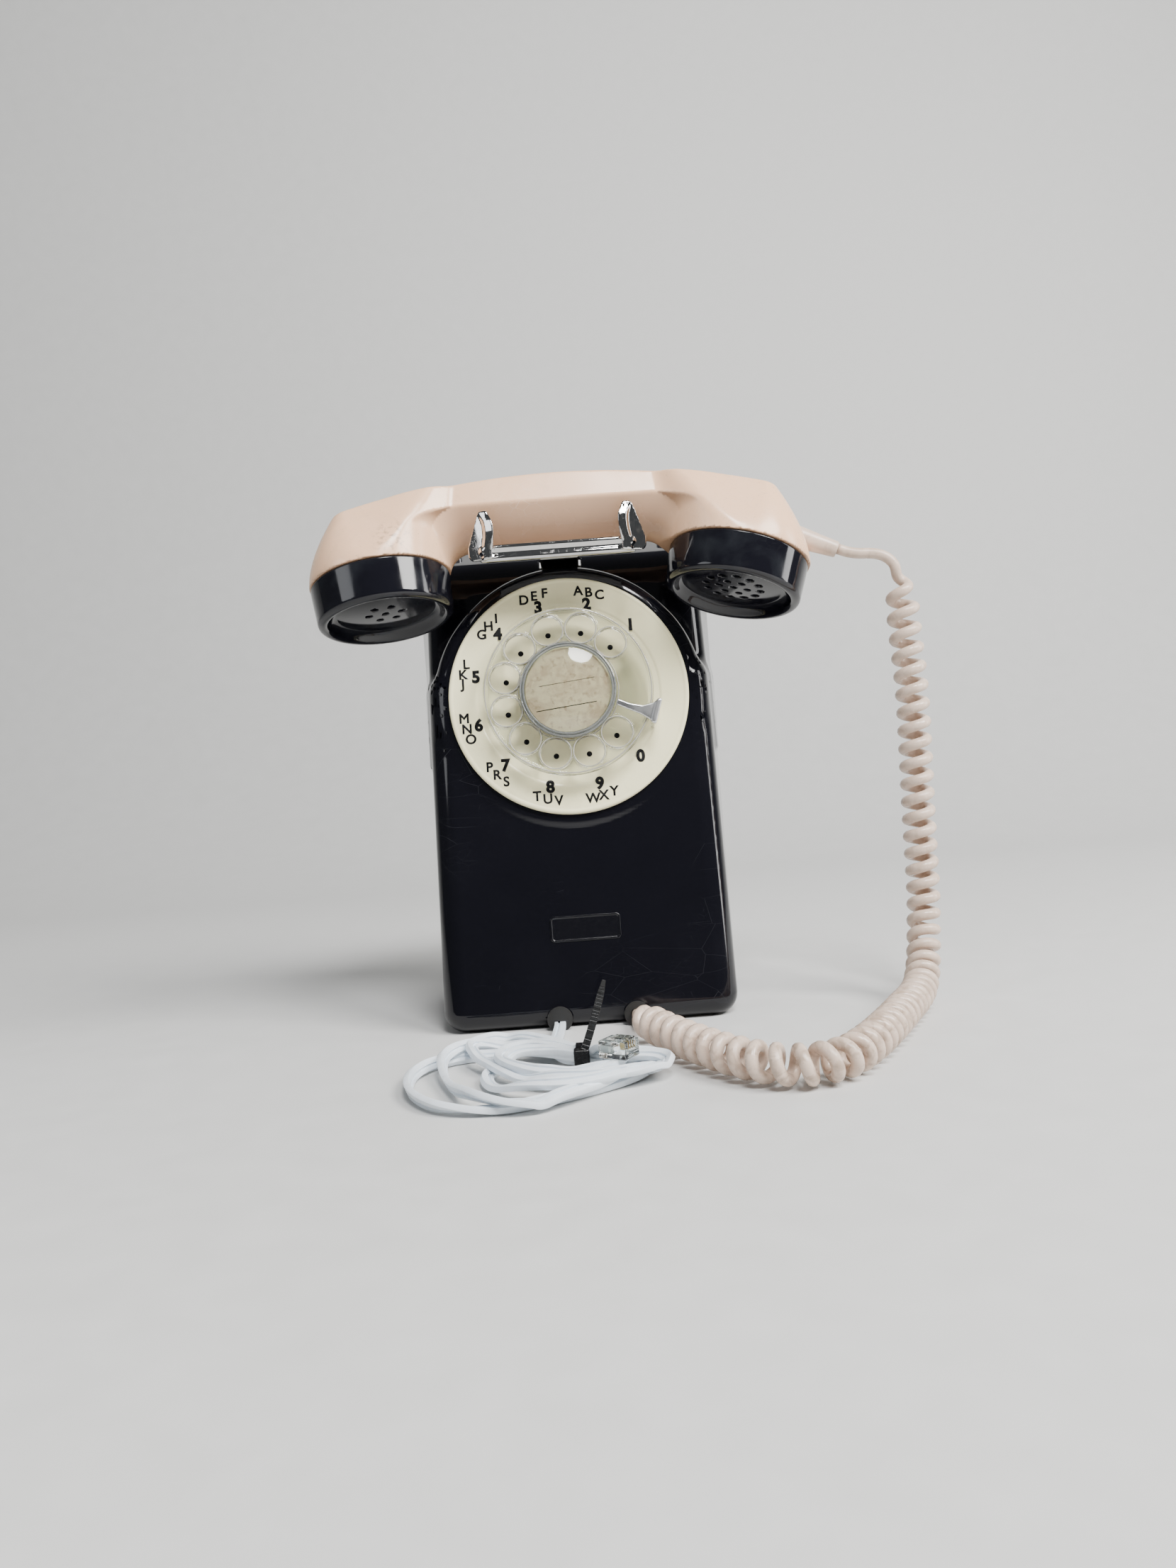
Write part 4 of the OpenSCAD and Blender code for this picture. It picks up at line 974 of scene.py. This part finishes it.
TRAY_TOP = HANDSET_AT.z + UNDER_Z * math.cos(HANDSET_LEAN) - 0.6
TRAY_HALF_W = 34.4
LIP_DEPTH = 84
EAR_TURN = math.radians(26)


def capsule(u, v, a, b, r):
    """Distance in a plane to a thick line from a to b."""
    ax, ay = b[0] - a[0], b[1] - a[1]
    t = np.clip(((u - a[0]) * ax + (v - a[1]) * ay) / (ax * ax + ay * ay), 0, 1)
    return np.hypot(u - a[0] - t * ax, v - a[1] - t * ay) - r


def hook(p):
    x, depth, z = np.abs(p[:, 0]), HALF_D - p[:, 1], p[:, 2]
    top = TRAY_TOP
    pivot = both(np.hypot(depth - 16, z - 192) - 4.4, x - 20, 0.6)
    arm = np.minimum(capsule(depth, z, (17, 193), (29.5, top - 3.9), 1.7),
                     capsule(depth, z, (29.5, top - 3.9), (58, top - 2.6), 1.5))
    arm = both(arm, x - 9, 0.6)
    pan = np.minimum(capsule(depth, z, (57.2, top - 1.7), (70, top - 2.4), 1.4),
                     capsule(depth, z, (70, top - 2.4), (LIP_DEPTH - 0.6, top - 1.6), 1.4))
    lip = capsule(depth, z, (LIP_DEPTH + 1.0, top - 1.5), (LIP_DEPTH + 1.0, top - 5.6), 1.0)
    rolls = np.minimum.reduce([np.hypot(depth - LIP_DEPTH - 1.2, z - top + down) for down in (1.3, 5.9)])
    lip = either(lip, rolls - 1.5, 0.8)
    tray = both(either(pan, lip, 1.0), x - TRAY_HALF_W, 1.2)
    dx, dy = x - 30.4, p[:, 1] - (HALF_D - 91)
    u = dx * math.cos(EAR_TURN) + dy * math.sin(EAR_TURN)
    v = -dx * math.sin(EAR_TURN) + dy * math.cos(EAR_TURN) - 0.006 * np.maximum(u, 0) ** 2 + 0.5
    h = z - (top - 3.3)
    edge = 9.6 - np.clip(h - 2, 0, 20) * 0.43
    outline = both(both(both(u - edge, -1.1 - u, 1.0), h - 17.2, 1.4), -3.9 - h, 3.2)
    ear = both(outline, np.abs(v) - 0.85, 0.5)
    bow = 1.3 * np.sin(np.clip(h, 0, 17) / 17 * np.pi) - 1.2 * smooth((h - 11) / 7)
    strip_x = np.maximum(np.abs(dx + bow) - 1.3, 0)
    strip_d = np.maximum(np.abs(v + 0.2 + 0.62 * bow) - 0.1, 0)
    strip_h = np.maximum(np.abs(h - 6.6) - 9.8, 0)
    bead = np.linalg.norm(np.stack([strip_x, strip_d, strip_h], -1), axis=1) - 0.8
    ear = either(ear, bead, 1.0)
    along = np.maximum(np.abs(depth - 87.4) - 2.6, 0)
    link = np.linalg.norm(np.stack([x - 31.6, along, h], -1), axis=1) - 2.3
    return np.minimum(either(either(tray, link, 1.5), ear, 0.8), either(arm, pivot, 1.5))


carved("hook_chrome", hook, (-41, -42, 186), (41, 43, 231), 0.62, "hook", "chrome", ("cradle_hook",))

# ---- Dial ----

HOLE_CIRCLE, HOLE_R = 28.9, 6.5
HOLES = [math.radians(45 + 30 * i) for i in range(10)]
HOLE_SPOTS = [polar(HOLE_CIRCLE, angle) for angle in HOLES]
DOME_MIDDLE, DOME_OUT, DOME_IN = 13.3 - 58, 62, 60.6
PRINT_Z, DIGIT_R, LETTER_R, LETTER_TURN = 3.0, 43, 48.6, math.radians(5.9)
STOP = DIAL @ Matrix.Rotation(math.radians(-18), 4, "Z")


def make_number_plate():
    rim = [(9.5, 0.2), (53.6, 0.2), (54.4, 0.6), (54.7, 1.4), (54.6, 2.4), (54.1, 3.0), (53.4, 3.2), (52.8, 3.1),
           (52.3, 2.95), (42.4, 2.95), (41.8, 2.8), (41.2, 2.5), (9.5, 2.5)]
    smooth_rim = rounded_line([(r, 0, z) for r, z in rim + rim[:1]], 0.5, 3)[:-1]
    add(turned("dial_face", [(q[0], q[2]) for q in smooth_rim], DIAL, 192, 50), "base", "plate_cream",
        ("number_plate",))


def glyph(text, size, x, y, z, weight):
    """A built-in character as a thin printed solid: points and faces."""
    curve = bpy.data.curves.new("glyph", "FONT")
    curve.body = text
    curve.size = size
    curve.align_x, curve.align_y = "CENTER", "CENTER"
    curve.bevel_depth = weight
    curve.bevel_resolution = 0
    curve.extrude = 0.01
    curve.resolution_u = 4
    holder = bpy.data.objects.new("glyph", curve)
    bpy.context.scene.collection.objects.link(holder)
    graph = bpy.context.evaluated_depsgraph_get()
    mesh = bpy.data.meshes.new_from_object(holder.evaluated_get(graph))
    points = np.array([v.co for v in mesh.vertices], float) * (1, 1, 0.05 / (weight + 0.01))
    faces = [list(f.vertices) for f in mesh.polygons]
    middle = (points.min(0) + points.max(0)) / 2
    bpy.data.objects.remove(holder)
    bpy.data.curves.remove(curve)
    bpy.data.meshes.remove(mesh)
    return points - middle + np.array((x, y, z)), faces


def joined(name, solids, place):
    points, faces, count = [], [], 0
    for at, sides in solids:
        points.append(at)
        faces += [[i + count for i in f] for f in sides]
        count += len(at)
    mesh = mesh_of(name, np.concatenate(points), faces, place=place)
    mesh.shade_flat()
    return mesh


def disc(r, x, y, z, thick, turns=32):
    points, faces = lathe([(0, 0), (r, 0), (r, thick), (0, thick)], turns)
    return points + np.array((x, y, z)), faces


def ring_line(r, x, y, z, thick):
    """A thin round ring about (x, y) at height z."""
    turn = np.linspace(0, 2 * np.pi, 8, endpoint=False)
    points, faces = lathe(np.stack([r + thick * np.cos(turn), thick * np.sin(turn)], -1), 96)
    return points + np.array((x, y, z)), faces


def make_print():
    """Digits and letters round the plate, and the finger dots under the wheel."""
    letters = {2: "ABC", 3: "DEF", 4: "GHI", 5: "JKL", 6: "MNO", 7: "PRS", 8: "TUV", 9: "WXY"}
    solids = []
    for i, angle in enumerate(HOLES):
        digit = (i + 1) % 10
        solids.append(glyph(str(digit), 7.4, *polar(DIGIT_R, angle), PRINT_Z, 0.40))
        for k, letter in enumerate(letters.get(digit, "")):
            turn = LETTER_TURN * (k - 1) * (-1 if digit < 6 else 1)
            solids.append(glyph(letter, 6.2, *polar(LETTER_R, angle + turn), PRINT_Z, 0.19))
        solids.append(disc(1.25, *HOLE_SPOTS[i], 2.45, 0.12))
    mesh = merged(joined("dial_print", solids, DIAL), 1e-7)
    mesh.shade_flat()
    add(mesh, "base", "black_nylon")


def finger_wheel(p):
    out, z = np.hypot(p[:, 0], p[:, 1]), p[:, 2]
    plate = both(out - 38.1, np.abs(z - 10.3) - 0.85, 0.5)
    rim = both(np.abs(out - 37.25) - 0.8, np.abs(z - 11.0) - 1.6, 0.35)
    near = nearest(p, HOLE_SPOTS)
    collar = both(np.abs(near - HOLE_R - 0.6) - 0.6, np.abs(z - 11.05) - 1.65, 0.35)
    solid = either(either(plate, rim, 0.6), collar, 0.7)
    seat = both(out - 21.6, np.abs(z - 10.1) - 1.7, 0.4)
    return both(both(np.minimum(solid, seat), HOLE_R - near, 0.45), 5 - out, 0.3)


def finger_stop(p):
    r, y, z = p[:, 0], p[:, 1], p[:, 2]
    low = np.interp(r, (22, 28, 34, 37.6, 41.4), (-1.5, -2.4, -3.2, -4.3, -5.6))
    high = np.interp(r, (22, 28, 34, 37.6, 41.4), (1.2, 0.4, 0.8, 2.8, 5.6))
    tongue = both(both(np.maximum(low - y, y - high), 22.3 - r, 0.8), r - 41.3, 0.3)
    tongue = both(tongue, np.abs(z - 14) - 0.78, 0.55)
    plate = block(p, (40.5, 0, 7.1), (0.88, 5.68, 7.85), 0.7)
    return either(tongue, plate, 1.4)


def make_dial():
    make_number_plate()
    make_print()
    carved("wheel_clear", finger_wheel, (-39, -39, 8), (39, 39, 13), 0.5, "dial", "clear_plastic",
           ("finger_wheel",), DIAL)
    ring = [(19.5, 11.9), (21.3, 11.9), (21.6, 12.2), (21.6, 14.0), (21.45, 14.4), (21.1, 14.55), (20.8, 14.4),
            (20.6, 14.0), (20.45, 14.0), (20.35, 14.7), (20.1, 15.1), (19.8, 15.15), (19.5, 14.9)]
    smoke = clear_plastic("smoky_ring", (0.42, 0.44, 0.45), 0.04, 0.10, 0.7)
    add(turned("hub_ring", ring, DIAL, 160, 30), "dial", "clear_plastic", ("dial_hub",), smoke)
    # Painted outlines: thin, half-clear greyish rings over the wheel's outer rim, hub edge and hole collars stand
    # in for the bright and dark edge lines that reflection and refraction draw there.
    edges = [ring_line(37.3, 0, 0, 12.5, 0.3), ring_line(22.6, 0, 0, 11.2, 0.25)]
    edges += [ring_line(HOLE_R + 0.55, *spot, 12.65, 0.27) for spot in HOLE_SPOTS]
    rim_outline_paint = clear_plastic("painted_rim_outline", (0.62, 0.60, 0.54), 0.10, 0.25, 0.45)
    mesh = joined("wheel_edges", edges, DIAL)
    mesh.shade_smooth()
    add(mesh, "dial", "clear_plastic", (), rim_outline_paint)
    outer = [(r, DOME_MIDDLE + math.sqrt(DOME_OUT ** 2 - r * r)) for r in np.linspace(0, 19.3, 14)]
    inner = [(r, DOME_MIDDLE + math.sqrt(DOME_IN ** 2 - r * r)) for r in np.linspace(17.9, 0, 12)]
    add(turned("window_dome", outer + [(19.3, 13.2)] + inner, DIAL, 128, 30), "dial", "clear_plastic",
        ("card_window",))
    rules = [
        block_solid((-15.4, -7.6, 13.1), (11.6, -7.25, 13.14)),
        block_solid((-12.5, 3.4, 13.1), (12.5, 3.6, 13.13)),
    ]
    add(joined("card_rules", rules, DIAL @ Matrix.Rotation(math.radians(6), 4, "Z")), "dial", "black_nylon")
    polish = metal("polished_steel", (0.66, 0.66, 0.66), (0.80, 0.80, 0.80), 0.24, 60)
    carved("stop_polished", finger_stop, (21, -7, -2), (43, 7, 16), 0.34, "base", "steel", ("finger_stop",), STOP,
           polish)


def block_solid(low, high):
    points = np.array([[(low, high)[c][a] for a, c in enumerate(corner)] for corner in CORNERS.tolist()], float)
    faces = [[0, 1, 3, 2], [4, 6, 7, 5], [0, 4, 5, 1], [2, 3, 7, 6], [0, 2, 6, 4], [1, 5, 7, 3]]
    return points, faces


make_dial()

# ---- Stage and light ----


def make_stage():
    """A pale floor that curves up into a backdrop."""
    arc = [(0.55 + 0.5 * math.sin(a), 0.5 - 0.5 * math.cos(a)) for a in np.linspace(0, math.pi / 2, 24)]
    profile = [(-3.0, 0.0), (-1.0, 0.0)] + arc + [(1.05, 1.2), (1.05, 1.4)]
    points = [(x * 1000, y * 1000, z * 1000 - 0.3) for y, z in profile for x in (-3.0, 3.0)]
    faces = [[2 * i, 2 * i + 1, 2 * i + 3, 2 * i + 2] for i in range(len(profile) - 1)]
    floor = bpy.data.objects.new("floor", mesh_of("floor", points, faces))
    bpy.context.scene.collection.objects.link(floor)
    p = Paint("pale_floor", (0.62, 0.62, 0.61), 0.7)
    grain = p.noise(60, 4)
    floor.data.materials.append(p.wear(p.blend(grain, (0.60, 0.60, 0.59), (0.66, 0.66, 0.65)),
                                       p.ramp(grain, (0.3, 0.6), (0.7, 0.8)), p.noise(400, 3), 0.0001, 0.15))


def soft_light(name, at, aim, width, height, power, colour=(1, 1, 1)):
    data = bpy.data.lights.new(name, "AREA")
    data.shape = "ELLIPSE"
    data.size, data.size_y = width, height
    data.energy = power
    data.color = colour
    light = bpy.data.objects.new(name, data)
    light.location = at
    light.rotation_euler = (Vector(aim) - Vector(at)).to_track_quat("-Z", "Y").to_euler()
    bpy.context.scene.collection.objects.link(light)


def make_light():
    soft_light("key", (1.05, -0.75, 1.2), (0, 0, 0.14), 0.8, 0.8, 42, (1, 0.985, 0.96))
    soft_light("front", (0.35, -1.1, 1.6), (0, 0, 0.12), 0.6, 0.6, 36)
    soft_light("rim", (1.4, -0.1, 0.45), (0, 0, 0.12), 0.35, 0.9, 7)
    soft_light("fill", (-1.5, -1.0, 0.9), (0, 0, 0.12), 0.8, 0.8, 5, (0.95, 0.97, 1))
    world = bpy.data.worlds.new("studio")
    world.use_nodes = True
    world.node_tree.nodes["Background"].inputs["Color"].default_value = (0.72, 0.76, 0.80, 1)
    world.node_tree.nodes["Background"].inputs["Strength"].default_value = 0.12
    bpy.context.scene.world = world


make_stage()
make_light()

bpy.context.view_layer.update()
